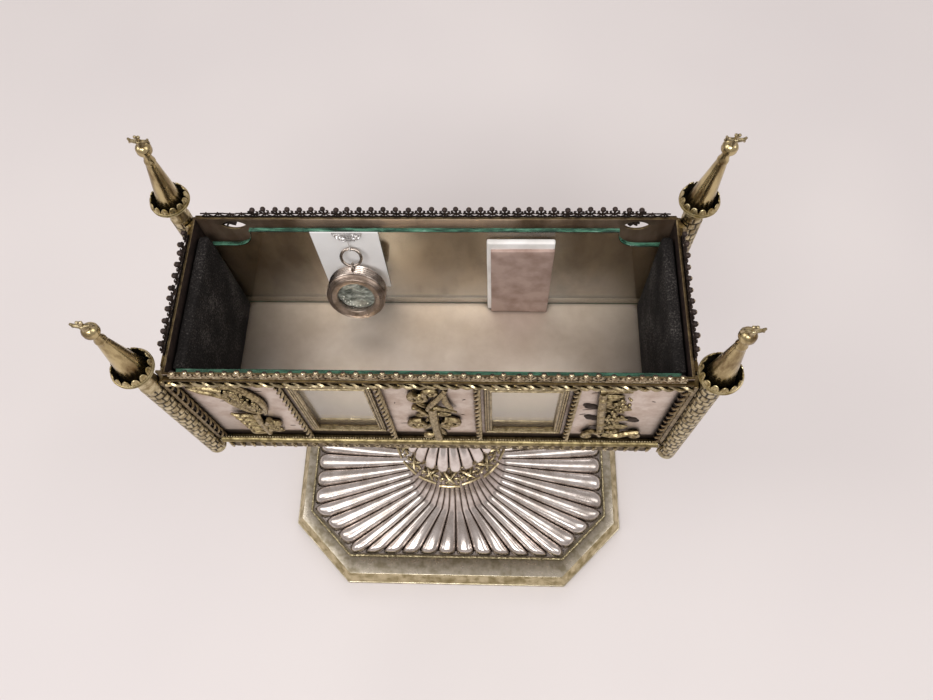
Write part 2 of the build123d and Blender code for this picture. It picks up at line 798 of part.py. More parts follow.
# Broad bezel
with BuildPart() as capsule_bezel:
    with BuildSketch(capsule_plane.offset(capsule_thickness - bezel_thickness)):
        Circle(capsule_radius)
        Circle(bezel_bore, mode=Mode.SUBTRACT)
    extrude(amount=bezel_thickness)
    chamfer(capsule_bezel.edges().filter_by(GeomType.CIRCLE).sort_by(Axis.Y)[0:1], length=0.8)
finish(capsule_bezel.part, "capsule_bezel")

# Crystal held behind the bezel
with BuildPart() as capsule_crystal:
    with BuildSketch(capsule_plane.offset(capsule_thickness - bezel_thickness - crystal_thickness)):
        Circle(capsule_bore - 0.3)
    extrude(amount=crystal_thickness)
finish(capsule_crystal.part, "capsule_crystal")

# Loose ring through the capsule's loop, leaning back on its own
ring_tilt = radians(ring_lean)
ring_normal = Vector(0, -cos(ring_tilt), sin(ring_tilt))
ring_up = Vector(0, sin(ring_tilt), cos(ring_tilt))
loop_play = loop_radius - loop_wire * 0.6 - ring_wire - hook_clearance
ring_centre = loop_origin + capsule_up * loop_play + ring_up * ring_radius
with BuildPart() as capsule_ring:
    with Locations(Plane(origin=ring_centre, x_dir=(1, 0, 0), z_dir=ring_normal)):
        Torus(ring_radius, ring_wire)
finish(capsule_ring.part, "capsule_ring")

# Wire eye that the ring hangs in, and its stem up to the seal on the card
eye_play = eye_radius - eye_wire - ring_wire - hook_clearance
eye_centre = ring_centre + ring_up * ring_radius + Vector(0, 0, eye_play)
stem_top = pane_top - seal_radius + 3.0
with BuildPart() as hanging_wire:
    with Locations(Plane(origin=eye_centre, x_dir=(0, 1, 0), z_dir=(1, 0, 0))):
        Torus(eye_radius, eye_wire)
    with BuildSketch(Plane.XY.offset(eye_centre.Z + eye_radius)):
        with Locations((capsule_x, eye_centre.Y)):
            Circle(eye_wire * 0.9)
    extrude(amount=stem_top - eye_centre.Z - eye_radius)
finish(hanging_wire.part, "hanging_wire")

# White card behind the capsule, with a glittering half-round seal at its top edge
card_plane = Plane(origin=(0, card_face, 0), x_dir=(-1, 0, 0), z_dir=(0, 1, 0))
with BuildPart() as label_card:
    with BuildSketch(card_plane):
        with Locations((-card_x, pane_top - card_height / 2)):
            Rectangle(card_width, card_height)
    extrude(amount=card_thickness)
finish(label_card.part, "label_card")

seal_plane = Plane(origin=(0, card_face, 0), x_dir=(1, 0, 0), z_dir=(0, -1, 0))
with BuildPart() as card_seal:
    with BuildSketch(seal_plane):
        with Locations((capsule_x, pane_top)):
            Circle(seal_radius)
        with Locations((capsule_x, pane_top + seal_radius / 2)):
            Rectangle(2 * seal_radius, seal_radius, mode=Mode.SUBTRACT)
    extrude(amount=card_face - eye_centre.Y - eye_wire - 0.05)
finish(card_seal.part, "card_seal")

# Folded paper packet that stands against the back pane
packet_plane = Plane(origin=(0, back_pane_face - packet_clearance, 0), x_dir=(1, 0, 0), z_dir=(0, -1, 0))
with BuildPart() as relic_packet:
    with BuildSketch(packet_plane):
        with Locations((packet_x, floor_level + packet_height / 2)):
            Rectangle(packet_width, packet_height)
    extrude(amount=packet_thickness)
finish(relic_packet.part, "relic_packet")
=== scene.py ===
from math import cos, hypot, pi, radians, sin
from random import Random

import bmesh
import bpy
from mathutils import Matrix, Vector, noise


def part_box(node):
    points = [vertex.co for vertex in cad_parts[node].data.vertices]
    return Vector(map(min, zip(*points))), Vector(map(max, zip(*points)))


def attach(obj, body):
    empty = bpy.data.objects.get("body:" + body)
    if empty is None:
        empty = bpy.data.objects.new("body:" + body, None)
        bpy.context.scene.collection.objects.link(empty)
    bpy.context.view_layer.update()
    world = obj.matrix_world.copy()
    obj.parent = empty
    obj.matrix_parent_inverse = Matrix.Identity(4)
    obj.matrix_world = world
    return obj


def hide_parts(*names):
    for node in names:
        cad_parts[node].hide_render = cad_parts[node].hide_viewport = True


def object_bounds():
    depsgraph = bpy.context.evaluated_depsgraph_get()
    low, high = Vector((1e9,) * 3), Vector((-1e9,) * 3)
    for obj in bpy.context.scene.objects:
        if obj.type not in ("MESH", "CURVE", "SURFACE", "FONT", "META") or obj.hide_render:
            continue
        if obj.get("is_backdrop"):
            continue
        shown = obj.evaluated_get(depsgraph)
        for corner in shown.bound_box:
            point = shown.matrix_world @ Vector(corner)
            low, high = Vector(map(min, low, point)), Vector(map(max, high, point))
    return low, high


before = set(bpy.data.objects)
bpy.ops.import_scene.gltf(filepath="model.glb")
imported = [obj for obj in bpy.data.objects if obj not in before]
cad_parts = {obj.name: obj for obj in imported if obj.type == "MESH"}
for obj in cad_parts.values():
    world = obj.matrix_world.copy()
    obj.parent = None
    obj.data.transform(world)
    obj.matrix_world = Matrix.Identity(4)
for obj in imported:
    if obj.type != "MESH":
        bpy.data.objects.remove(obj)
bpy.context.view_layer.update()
MM = 0.001

# ---------------------------------------------------------------- table and studio
# A pale paper sheet fills the view under the reliquary. Soft boxes hang over it at both sides, behind
# and high in front, so that rounded silver shows bright lights between darker gaps.


def srgb(code):
    """A colour written as sRGB hex, turned to the linear values that shaders take."""
    shares = [int(code[i:i + 2], 16) / 255 for i in (1, 3, 5)]
    return (*[c / 12.92 if c <= 0.04045 else ((c + 0.055) / 1.055) ** 2.4 for c in shares], 1.0)


def add_node(tree, kind, settings=None, inputs=None, stops=()):
    """Add one node, set its attributes, and give its inputs values or links; stops fill a colour
    ramp. A node given as an input stands for its first output."""
    node = tree.nodes.new(kind)
    for name, value in (settings or {}).items():
        setattr(node, name, value)
    for name, value in (inputs or {}).items():
        if isinstance(value, bpy.types.Node):
            value = value.outputs[0]
        if isinstance(value, bpy.types.NodeSocket):
            tree.links.new(value, node.inputs[name])
        else:
            node.inputs[name].default_value = value
    for at, (position, colour) in enumerate(stops):
        elements = node.color_ramp.elements
        element = elements[at] if at < len(elements) else elements.new(position)
        element.position = position
        element.color = srgb(colour)
    return node


def new_material(name):
    """An empty material; returns it, its node tree, and the socket of its Object coordinates."""
    material = bpy.data.materials.new(name)
    material.use_nodes = True
    material.node_tree.nodes.clear()
    coordinates = add_node(material.node_tree, "ShaderNodeTexCoord")
    return material, material.node_tree, coordinates.outputs["Object"]


def show(tree, shader):
    """Link a shader node to the material's output."""
    add_node(tree, "ShaderNodeOutputMaterial", inputs={"Surface": shader})


def paper_backdrop():
    """Matt paper, faintly warm, with a cloudiness too soft to read as texture."""
    material, tree, place = new_material("backdrop_paper")
    cloud = add_node(tree, "ShaderNodeTexNoise", inputs={"Vector": place, "Scale": 2.5})
    tone = add_node(tree, "ShaderNodeValToRGB", inputs={"Fac": cloud},
                    stops=((0.3, "#d9d2d1"), (0.7, "#dfd8d6")))
    show(tree, add_node(tree, "ShaderNodeBsdfPrincipled",
                        inputs={"Base Color": tone, "Roughness": 0.9}))
    return material


def placed_mesh(name, points, faces):
    """A mesh from points in millimetres."""
    mesh = bpy.data.meshes.new(name)
    mesh.from_pydata([Vector(p) * MM for p in points], [], faces)
    return mesh


def stand_object(data):
    """Put a mesh, curve, lamp or camera in the scene as an object of its name, at the origin."""
    obj = bpy.data.objects.new(data.name, data)
    bpy.context.scene.collection.objects.link(obj)
    return obj


sheet_reach = 6000
sheet_corners = [(x * sheet_reach, y * sheet_reach, 0) for x, y in ((-1, -1), (1, -1), (1, 1), (-1, 1))]
table_sheet = stand_object(placed_mesh("table_sheet", sheet_corners, [(0, 1, 2, 3)]))
table_sheet.data.materials.append(paper_backdrop())
table_sheet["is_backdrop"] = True


def soft_box(name, place, width, height, watts):
    """A rectangular lamp in metres that faces the middle of the reliquary."""
    lamp = bpy.data.lights.new(name, "AREA")
    lamp.shape = "RECTANGLE"
    lamp.size = width
    lamp.size_y = height
    lamp.energy = watts
    obj = stand_object(lamp)
    obj.location = place
    obj.rotation_euler = (reliquary_middle - Vector(place)).to_track_quat("-Z", "Y").to_euler()


reliquary_middle = Vector((0, 0, 0.25))
for box_name, place, width, height, watts in (
        ("left_box", (-1.5, -0.25, 1.7), 0.9, 1.5, 12), ("right_box", (1.5, -0.25, 1.7), 0.9, 1.5, 10),
        ("back_box", (0.0, 1.9, 1.3), 1.8, 0.7, 9), ("front_box", (-0.2, -1.1, 1.65), 1.1, 0.45, 16)):
    soft_box(box_name, place, width, height, watts)

world = bpy.data.worlds.new("studio")
bpy.context.scene.world = world
world.use_nodes = True
room_light = world.node_tree.nodes["Background"].inputs
room_light["Color"].default_value = srgb("#f3ecea")
room_light["Strength"].default_value = 0.52
bpy.context.scene.view_settings.view_transform = "Standard"

camera_place = (0.03812, -0.19926, 0.75862)
camera_turn = Vector((0.4228, 0.0383, 0.0166))
camera = bpy.data.cameras.new("camera")
camera.lens = 29.13
camera.sensor_width = 36.0
camera_object = stand_object(camera)
camera_object.location = camera_place
camera_object.rotation_mode = "QUATERNION"
camera_object.rotation_quaternion = Matrix.Rotation(camera_turn.length, 3, camera_turn).to_quaternion()
bpy.context.scene.camera = camera_object

# ---------------------------------------------------------------- foot
# The foot is silver sheet chased into lobes that run from an eight-sided edge up into a round neck.
# It is let into a stepped, cast border of worn silver gilt, and a milled wire covers the joint.


def aged_metal(name, bright, dull, recess, roughness, patch, hollow, pits=0.15, keep=0.0,
               streak=1.0, bare=1.0, foot=-1.0, ends=-1.0, front=-1.0):
    """Metal that was once polished. It is bright where hands rub it, dull in clouds about patch
    millimetres wide, and dark in hollows about that many millimetres wide, where ambient occlusion
    paints old tarnish together with painted shade from nearby parts. It is darker too wherever the
    mesh carries the darkening attribute that lobe_tree and masonry_tree store, and painted shade
    darkens it below the level foot, outside x = ends and before y = -front. bare is how much of it
    no tarnish layer covers."""
    material, tree, place = new_material(name)
    spread = add_node(tree, "ShaderNodeMapping", inputs={"Vector": place, "Scale": (1, 1, streak)})
    clouds = add_node(tree, "ShaderNodeTexNoise", inputs={
        "Vector": spread, "Scale": 1 / (patch * MM), "Detail": 5.0, "Roughness": 0.62})
    body = add_node(tree, "ShaderNodeValToRGB", inputs={"Fac": clouds},
                    stops=((0.36, dull), (0.6, bright)))
    # Ambient occlusion: old tarnish in the hollows, and painted shade where other parts close in
    shut_in = add_node(tree, "ShaderNodeAmbientOcclusion", {"samples": 6}, {"Distance": hollow * MM})
    dirt = add_node(tree, "ShaderNodeMapRange", {"interpolation_type": "SMOOTHSTEP"}, {
        "Value": shut_in.outputs["AO"], "From Min": 0.2, "From Max": 0.82,
        "To Min": 1.0, "To Max": keep})
    marked = add_node(tree, "ShaderNodeAttribute", {"attribute_name": "dirt"})
    tarnish_and_shade_total = add_node(tree, "ShaderNodeMath", {"operation": "MAXIMUM"},
                     {0: dirt, 1: marked.outputs["Fac"]})
    level = add_node(tree, "ShaderNodeSeparateXYZ", inputs={0: place})
    from_middle = add_node(tree, "ShaderNodeMath", {"operation": "ABSOLUTE"}, {0: level.outputs["X"]})
    # Painted shade: darker towards the ends, towards the front and below the level foot, as if the parts
    # around shaded it
    for reach, where, start, end, least, most in (
            (ends, from_middle, 0.25 * ends, ends, 0.0, 0.75),
            (front, level.outputs["Y"], -1.3 * front, -0.5 * front, 0.85, 0.0),
            (foot, level.outputs["Z"], foot - 1.5, foot + 1.5, 0.93, 0.0)):
        if reach > 0:
            shaded_band = add_node(tree, "ShaderNodeMapRange", {"interpolation_type": "SMOOTHSTEP"}, {
                "Value": where, "From Min": start * MM, "From Max": end * MM,
                "To Min": least, "To Max": most})
            tarnish_and_shade_total = add_node(tree, "ShaderNodeMath", {"operation": "MAXIMUM"}, {0: tarnish_and_shade_total, 1: shaded_band})
    colour = add_node(tree, "ShaderNodeMix", {"data_type": "RGBA"}, {
        0: tarnish_and_shade_total, 6: body, 7: srgb(recess)})
    grain = add_node(tree, "ShaderNodeTexNoise",
                     inputs={"Vector": place, "Scale": 1400.0, "Detail": 3.0})
    gloss = add_node(tree, "ShaderNodeMapRange", inputs={
        "Value": clouds, "From Min": 0.3, "From Max": 0.7,
        "To Min": roughness + 0.14, "To Max": roughness})
    relief = add_node(tree, "ShaderNodeBump", inputs={
        "Height": grain, "Strength": pits, "Distance": 0.15 * MM})
    show(tree, add_node(tree, "ShaderNodeBsdfPrincipled", inputs={
        "Base Color": colour.outputs[2], "Metallic": bare, "Roughness": gloss,
        "Normal": relief}))
    return material


# Sterling sheet, burnished: near white, mirror-like, darker in the valleys of the lobes, partly by
# painted shade from ambient occlusion
lobed_silver = aged_metal("burnished_silver", "#dcd3cd", "#b8ada5", "#5c4d40", 0.17, 14, 1.1)
# Silver gilt worn nearly to the silver: greyish olive with rubbed, paler patches
worn_border = aged_metal("worn_silver_gilt", "#c3b9a8", "#8b816c", "#453a2a", 0.24, 10, 2.2, pits=0.3)
# Outer bevel of the border: more of the gilding left, shinier from handling
gilt_edge = aged_metal("rubbed_gilding", "#cdbf9c", "#93855f", "#43361f", 0.2, 9, 2.2)
# Gilt brass castings and wires: pale gold on every ridge, umber in every hollow, where ambient occlusion
# paints tarnish and shade together
old_gilt = aged_metal("fire_gilt_brass", "#c3b390", "#7d6e50", "#18110c", 0.24, 3, 3.2)


def in_mm(node):
    """Lowest and highest corners of a CAD node, in millimetres."""
    low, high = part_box(node)
    return Vector(low) / MM, Vector(high) / MM


def settle(obj, materials, nodes, body="casket", flat=False):
    """Finish a piece: its materials, shading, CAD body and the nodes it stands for."""
    for material in materials:
        obj.data.materials.append(material)
    if not flat:
        obj.data.shade_smooth()
        obj.data.set_sharp_from_angle(angle=radians(38))
    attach(obj, body)
    if nodes:
        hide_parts(*nodes)
    return obj


def set_shape(shape, mesh):
    """Write an edited shape to a mesh and free it."""
    shape.to_mesh(mesh)
    shape.free()
    return mesh


def eased_copy(name, node, ease, steps=2):
    """A copy of a CAD node whose sharp edges are rounded by that many millimetres."""
    shape = bmesh.new()
    shape.from_mesh(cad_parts[node].data)
    bmesh.ops.remove_doubles(shape, verts=shape.verts, dist=0.002 * MM)
    bmesh.ops.dissolve_limit(shape, angle_limit=radians(1.5), verts=shape.verts, edges=shape.edges)
    sharp = [e for e in shape.edges if len(e.link_faces) == 2 and e.calc_face_angle() > radians(28)]
    bmesh.ops.bevel(shape, geom=sharp, offset=ease * MM, segments=steps, profile=0.5,
                    affect="EDGES", clamp_overlap=True)
    return stand_object(set_shape(shape, bpy.data.meshes.new(name)))


def face_by(obj, choose):
    """Set each face's material slot to what choose returns for its normal."""
    for polygon in obj.data.polygons:
        polygon.material_index = choose(polygon.normal)
    return obj


border_ease = 0.7
level_enough = 0.93
foot_border = face_by(eased_copy("foot_border", "foot_rim", border_ease, 3),
                      lambda normal: int(normal.z < level_enough))
settle(foot_border, [worn_border, gilt_edge], ["foot_rim"])


def octagon_path(half_x, half_y, corner):
    """Corners of a rectangle with cut corners, counterclockwise from the middle of its front."""
    quarter = [(half_x - corner, -half_y), (half_x, corner - half_y)]
    right = quarter + [(x, -y) for x, y in reversed(quarter)]
    return [(0, -half_y)] + right + [(-x, -y) for x, y in right]


def along(path, share):
    """The point at that share of a closed path's length."""
    legs = [(a, b, hypot(b[0] - a[0], b[1] - a[1])) for a, b in zip(path, path[1:] + path[:1])]
    left = (share % 1.0) * sum(leg[2] for leg in legs)
    for a, b, length in legs:
        if left <= length:
            return a[0] + (b[0] - a[0]) * left / length, a[1] + (b[1] - a[1]) * left / length
        left -= length
    return path[0]


def band_faces(rings, around, closed=False):
    """Quads between neighbouring rings of points; closed joins the last ring to the first."""
    return [(r * around + i, r * around + (i + 1) % around,
             (r + 1) % rings * around + (i + 1) % around, (r + 1) % rings * around + i)
            for r in range(rings if closed else rings - 1) for i in range(around)]


def lobed_surface(name, lobes, rows, steps=12):
    """A closed band of lobes. Each row is (where, height, fullness, tip): where gives a point for a
    share of the way round, fullness how far the valleys sink, and tip runs to 1 at a lobe's end."""
    turns = [(lobe, sin(pi / 2 * (2 * k / steps - 1))) for lobe in range(lobes) for k in range(steps)]
    points = []
    for where, height, _, _ in rows:
        points += [(*where((lobe + 0.5 + 0.5 * w) / lobes), height) for lobe, w in turns]
    mesh = placed_mesh(name, points, band_faces(len(rows), len(turns)))
    for label, values in (
            ("across", [w for _ in rows for _, w in turns]),
            ("fullness", [row[2] * MM for row in rows for _ in turns]),
            ("tip", [row[3] for row in rows for _ in turns])):
        mesh.attributes.new(label, "FLOAT", "POINT").data.foreach_set("value", values)
    return stand_object(mesh)


def new_shape_tree(name, numbers=()):
    """An empty geometry tree with a Geometry socket each way and these named number inputs."""
    tree = bpy.data.node_groups.new(name, "GeometryNodeTree")
    tree.interface.new_socket("Geometry", in_out="INPUT", socket_type="NodeSocketGeometry")
    tree.interface.new_socket("Geometry", in_out="OUTPUT", socket_type="NodeSocketGeometry")
    for label, kind in numbers:
        tree.interface.new_socket(label, in_out="INPUT", socket_type="NodeSocket" + kind)
    return tree, add_node(tree, "NodeGroupInput").outputs


def end_tree(tree, geometry):
    """Realize the instances, set the material that comes in, and link the result to the output."""
    tree.interface.new_socket("Material", in_out="INPUT", socket_type="NodeSocketMaterial")
    real = add_node(tree, "GeometryNodeRealizeInstances", inputs={"Geometry": geometry})
    skin = add_node(tree, "GeometryNodeSetMaterial", inputs={
        "Geometry": real, "Material": add_node(tree, "NodeGroupInput").outputs["Material"]})
    add_node(tree, "NodeGroupOutput", inputs={"Geometry": skin})
    return tree


def plain_mesh(obj):
    """A plain mesh of what an object's modifiers or curve settings make of it."""
    return bpy.data.meshes.new_from_object(obj.evaluated_get(bpy.context.evaluated_depsgraph_get()))


def grown(name, source, tree, values):
    """Run a geometry tree on a source object and keep the result as a plain mesh object."""
    modifier = source.modifiers.new("shape", "NODES")
    modifier.node_group = tree
    for item in tree.interface.items_tree:
        if item.in_out == "INPUT" and item.name in values:
            modifier[item.identifier] = values[item.name]
    bpy.context.view_layer.update()
    mesh = plain_mesh(source)
    mesh.name = name
    mesh.materials.clear()
    mesh.materials.append(values["Material"])
    mesh.polygons.foreach_set("material_index", [0] * len(mesh.polygons))
    bpy.data.objects.remove(source)
    return stand_object(mesh)


def lobe_tree():
    """Sinks a surface between its lobes, so that each lobe is half round with a ball-shaped tip."""
    tree, _ = new_shape_tree("raise_lobes")
    held = {label: add_node(tree, "GeometryNodeInputNamedAttribute", {"data_type": "FLOAT"},
                            {"Name": label}).outputs["Attribute"]
            for label in ("across", "fullness", "tip")}
    sides = add_node(tree, "ShaderNodeMath", {"operation": "ABSOLUTE"}, {0: held["across"]})
    crosswise = add_node(tree, "ShaderNodeMath", {"operation": "POWER"}, {0: sides, 1: 2.6})
    endwise = add_node(tree, "ShaderNodeMath", {"operation": "POWER"}, {0: held["tip"], 1: 3.2})
    off_crest = add_node(tree, "ShaderNodeMath", {"operation": "ADD"},
                         {0: endwise, 1: crosswise})
    rest = add_node(tree, "ShaderNodeMath", {"operation": "SUBTRACT", "use_clamp": True},
                    {0: 1.0, 1: off_crest})
    arc = add_node(tree, "ShaderNodeMath", {"operation": "SQRT"}, {0: rest})
    sink = add_node(tree, "ShaderNodeMath", {"operation": "SUBTRACT"}, {0: arc, 1: 1.0})
    depth = add_node(tree, "ShaderNodeMath", {"operation": "MULTIPLY"},
                     {0: sink, 1: held["fullness"]})
    facing = add_node(tree, "GeometryNodeInputNormal")
    shift = add_node(tree, "ShaderNodeVectorMath", {"operation": "SCALE"},
                     {0: facing, "Scale": depth})
    moved = add_node(tree, "GeometryNodeSetPosition", inputs={
        "Geometry": add_node(tree, "NodeGroupInput").outputs["Geometry"], "Offset": shift})
    # Darker towards the valleys between the lobes and the ends of their tips; the metal reads this as
    # its darkening attribute
    valley_darkening = add_node(tree, "ShaderNodeMapRange", {"interpolation_type": "SMOOTHSTEP"}, {
        "Value": arc, "From Min": 0.0, "From Max": 0.45, "To Min": 0.6, "To Max": 0.0})
    marked = add_node(tree, "GeometryNodeStoreNamedAttribute",
                      {"data_type": "FLOAT", "domain": "POINT"}, {
        "Geometry": moved, "Name": "dirt", "Value": valley_darkening})
    return end_tree(tree, marked)


raise_lobes = lobe_tree()


def smooth_line(knots, steps):
    """Points on a smooth curve through the knots, with that many steps between two knots."""
    ends = [2 * Vector(knots[0]) - Vector(knots[1])] + [Vector(k) for k in knots]
    ends.append(2 * Vector(knots[-1]) - Vector(knots[-2]))
    line = []
    for a, b, c, d in zip(ends, ends[1:], ends[2:], ends[3:]):
        for t in (s / steps for s in range(steps)):
            line.append(0.5 * (2 * b + (c - a) * t + (2 * a - 5 * b + 4 * c - d) * t * t
                               + (3 * b - a - 3 * c + d) * t ** 3))
    return line + [ends[-2]]


def ring_of(radius):
    """A circle that starts at the front, as the octagons do."""
    return lambda share: (radius * sin(2 * pi * share), -radius * cos(2 * pi * share))


def thicken(obj, wall):
    """Give a sheet its wall, inwards, and apply it."""
    modifier = obj.modifiers.new("wall", "SOLIDIFY")
    modifier.thickness = wall * MM
    modifier.offset = -1
    mesh = plain_mesh(obj)
    obj.modifiers.clear()
    obj.data = mesh
    return obj


dome_high = in_mm("foot_dome")[1]
border_top = in_mm("foot_rim")[1].z
dome_corner = 42.0
dome_inset = 1
foot_lobes = 44
lobe_height = 8.0
lobe_fullness = 0.43
shoulder_radius = 46.0
shoulder_height = 46.0
typical_run = 62.0
sheet_wall = 1.0
tip_rows = 7
run_rows = 22
knot_steps = 5
dome_edge = octagon_path(dome_high.x - dome_inset, dome_high.y - dome_inset, dome_corner)
edge_length = sum(hypot(b[0] - a[0], b[1] - a[1])
                  for a, b in zip(dome_edge, dome_edge[1:] + dome_edge[:1]))
tip_radius = edge_length / foot_lobes / 2


def dome_row(inward, tip):
    """One row between the eight-sided edge and the round shoulder; inward runs from 0 to 1. The
    lobes' crests are nearly flat at the edge and steeper towards the neck."""
    shoulder = ring_of(shoulder_radius)

    def where(share):
        outer = Vector(along(dome_edge, share))
        return tuple(outer.lerp(Vector(shoulder(share)), inward))
    crest = border_top + lobe_height
    height = crest + (shoulder_height - crest) * inward ** 1.6
    pitch = (edge_length * (1 - inward) + 2 * pi * shoulder_radius * inward) / foot_lobes
    return where, height, lobe_fullness * pitch, tip


def neck_rows(knots, base, fullness, lobes):
    """Rows of lobes without tips, up a neck whose profile runs smoothly through the knots."""
    return [(ring_of(p[0]), base + p[1], fullness * 2 * pi * p[0] / lobes, 0)
            for p in smooth_line(knots, knot_steps)]


dome_rows = []
for k in range(tip_rows + 1):
    tip = cos(0.5 * pi * k / tip_rows)
    dome_rows.append(dome_row(tip_radius * (1 - tip) / typical_run, tip))
run_start = tip_radius / typical_run
dome_rows += [dome_row(run_start + (1 - run_start) * k / run_rows, 0) for k in range(1, run_rows)]
neck_knots = [(shoulder_radius, shoulder_height), (36, 62), (29.5, 84), (27.5, 110), (28.5, 132),
              (30, 147.5)]
dome_rows += neck_rows(neck_knots, 0, lobe_fullness, foot_lobes)


def lobed_sheet(name, node, lobes, rows, material, steps=12):
    """A sheet chased into lobes, with its wall, for one CAD node."""
    sheet = grown(name, lobed_surface(name, lobes, rows, steps), raise_lobes, {"Material": material})
    settle(thicken(sheet, sheet_wall), [], [node])


lobed_sheet("lobed_foot", "foot_dome", foot_lobes, dome_rows, lobed_silver)

# A milled wire of two twisted strands lies in the angle between the border and the lobes.


def path_object(name, points, closed=False):
    """A path of straight runs through points in millimetres, for things that follow it."""
    curve = bpy.data.curves.new(name, "CURVE")
    curve.dimensions = "3D"
    spline = curve.splines.new("POLY")
    spline.points.add(len(points) - 1)
    for spot, point in zip(spline.points, points):
        spot.co = (*(Vector(point) * MM), 1)
    spline.use_cyclic_u = closed
    return stand_object(curve)


def rope_tree():
    """Strands of round wire wound about a path, one turn to each pitch."""
    tree, given = new_shape_tree("twist_strands", (
        ("Strands", "Int"), ("Strand Radius", "Float"), ("Wind Radius", "Float"), ("Pitch", "Float"),
        ("Step", "Float")))
    fine = add_node(tree, "GeometryNodeResampleCurve", {"mode": "LENGTH"},
                    {"Curve": given["Geometry"], "Length": given["Step"]})
    strands = add_node(tree, "GeometryNodeDuplicateElements", {"domain": "SPLINE"},
                       {"Geometry": fine, "Amount": given["Strands"]})
    run = add_node(tree, "GeometryNodeSplineParameter")
    turns = add_node(tree, "ShaderNodeMath", {"operation": "DIVIDE"},
                     {0: run.outputs["Length"], 1: given["Pitch"]})
    start = add_node(tree, "ShaderNodeMath", {"operation": "DIVIDE"},
                     {0: strands.outputs["Duplicate Index"], 1: given["Strands"]})
    phase = add_node(tree, "ShaderNodeMath", {"operation": "ADD"}, {0: turns, 1: start})
    angle = add_node(tree, "ShaderNodeMath", {"operation": "MULTIPLY"}, {0: phase, 1: 2 * pi})
    side = add_node(tree, "GeometryNodeInputNormal")
    heading = add_node(tree, "GeometryNodeInputTangent")
    out = add_node(tree, "ShaderNodeVectorRotate", {"rotation_type": "AXIS_ANGLE"}, {
        "Vector": side, "Axis": heading, "Angle": angle})
    shift = add_node(tree, "ShaderNodeVectorMath", {"operation": "SCALE"},
                     {0: out, "Scale": given["Wind Radius"]})
    wound = add_node(tree, "GeometryNodeSetPosition",
                     inputs={"Geometry": strands, "Offset": shift})
    wire = add_node(tree, "GeometryNodeCurvePrimitiveCircle",
                    inputs={"Resolution": 7, "Radius": given["Strand Radius"]})
    solid = add_node(tree, "GeometryNodeCurveToMesh", inputs={
        "Curve": wound, "Profile Curve": wire.outputs["Curve"], "Fill Caps": True})
    return end_tree(tree, solid)


twist_strands = rope_tree()


def rope(name, path, strand, wind, pitch, material, strands=2, step=0.6):
    """A twisted rope on a path object: radius of a strand, radius it winds at, and pitch, in mm."""
    return grown(name, path, twist_strands, {
        "Strands": strands, "Strand Radius": strand * MM, "Wind Radius": wind * MM,
        "Pitch": pitch * MM, "Step": step * MM, "Material": material})


def joined(name, objects):
    """One object from several, materials kept."""
    shape = bmesh.new()
    materials = []
    for obj in objects:
        first = len(shape.faces)
        slots = [m.name for m in obj.data.materials]
        materials += [m for m in obj.data.materials if m not in materials]
        shape.from_mesh(obj.data)
        shape.faces.ensure_lookup_table()
        for face in shape.faces[first:]:
            if slots:
                face.material_index = materials.index(bpy.data.materials[slots[face.material_index]])
    mesh = set_shape(shape, bpy.data.meshes.new(name))
    for obj in objects:
        bpy.data.objects.remove(obj)
    for material in materials:
        mesh.materials.append(material)
    return stand_object(mesh)


dark_gilt = aged_metal("dark_gilt", "#d0c39c", "#4a3d2a", "#0e0a06", 0.26, 1.2, 2.6)
wire_low, wire_high = in_mm("foot_rope_wire")
wire_radius = 1.1
wire_twist = (0.7, 0.4, 2.6)
wire_path = octagon_path(wire_high.x - wire_radius, wire_high.y - wire_radius, dome_corner)
milled_wire = rope("milled_wire", path_object(
    "wire_path", [(x, y, wire_low.z + wire_radius) for x, y in wire_path], closed=True),
    *wire_twist, dark_gilt, step=0.35)
settle(milled_wire, [], ["foot_rope_wire"])

# ---------------------------------------------------------------- stem
# Above the neck sit a ring of pierced gilt leaves, a lobed silver knop and a fluted trumpet. An iron
# tie rod through all of them draws the foot and the casket together between a washer and two nuts.


def dress(node, material):
    """Give a CAD node a material; its shape is already the real one."""
    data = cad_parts[node].data
    data.materials.clear()
    data.materials.append(material)


# Wrought iron: nearly black scale with a few rust-brown patches, dull all over
iron = aged_metal("wrought_iron", "#5b534c", "#3a322c", "#15110e", 0.48, 3, 2)
for iron_node in ("tie_rod", "rod_nuts", "stem_washer"):
    dress(iron_node, iron)


def cast(name, strokes, balls=(), flat=1.0, sides=2):
    """A casting built of tapered strokes and beads. A stroke is (points, radii) and a ball is
    (centre, radius), all in millimetres; flat squeezes the whole along Y."""
    curve = bpy.data.curves.new(name, "CURVE")
    curve.dimensions = "3D"
    curve.bevel_depth = MM
    curve.bevel_resolution = sides
    curve.use_fill_caps = True
    for points, radii in strokes:
        spline = curve.splines.new("NURBS")
        spline.points.add(len(points) - 1)
        for at, (spot, point) in enumerate(zip(spline.points, points)):
            share = at / max(len(points) - 1, 1) * (len(radii) - 1)
            low = min(int(share), len(radii) - 2)
            spot.co = (*(Vector(point) * MM), 1)
            spot.radius = radii[low] + (radii[low + 1] - radii[low]) * (share - low)
        spline.order_u = 3
        spline.use_endpoint_u = True
        spline.resolution_u = 4
    source = stand_object(curve)
    shape = bmesh.new()
    shape.from_mesh(plain_mesh(source))
    bpy.data.objects.remove(source)
    for centre, radius in balls:
        bmesh.ops.create_uvsphere(shape, u_segments=10, v_segments=7, radius=radius * MM,
                                  matrix=Matrix.Translation(Vector(centre) * MM))
    if flat != 1.0:
        bmesh.ops.scale(shape, vec=(1, flat, 1), verts=shape.verts)
    return stand_object(set_shape(shape, bpy.data.meshes.new(name)))


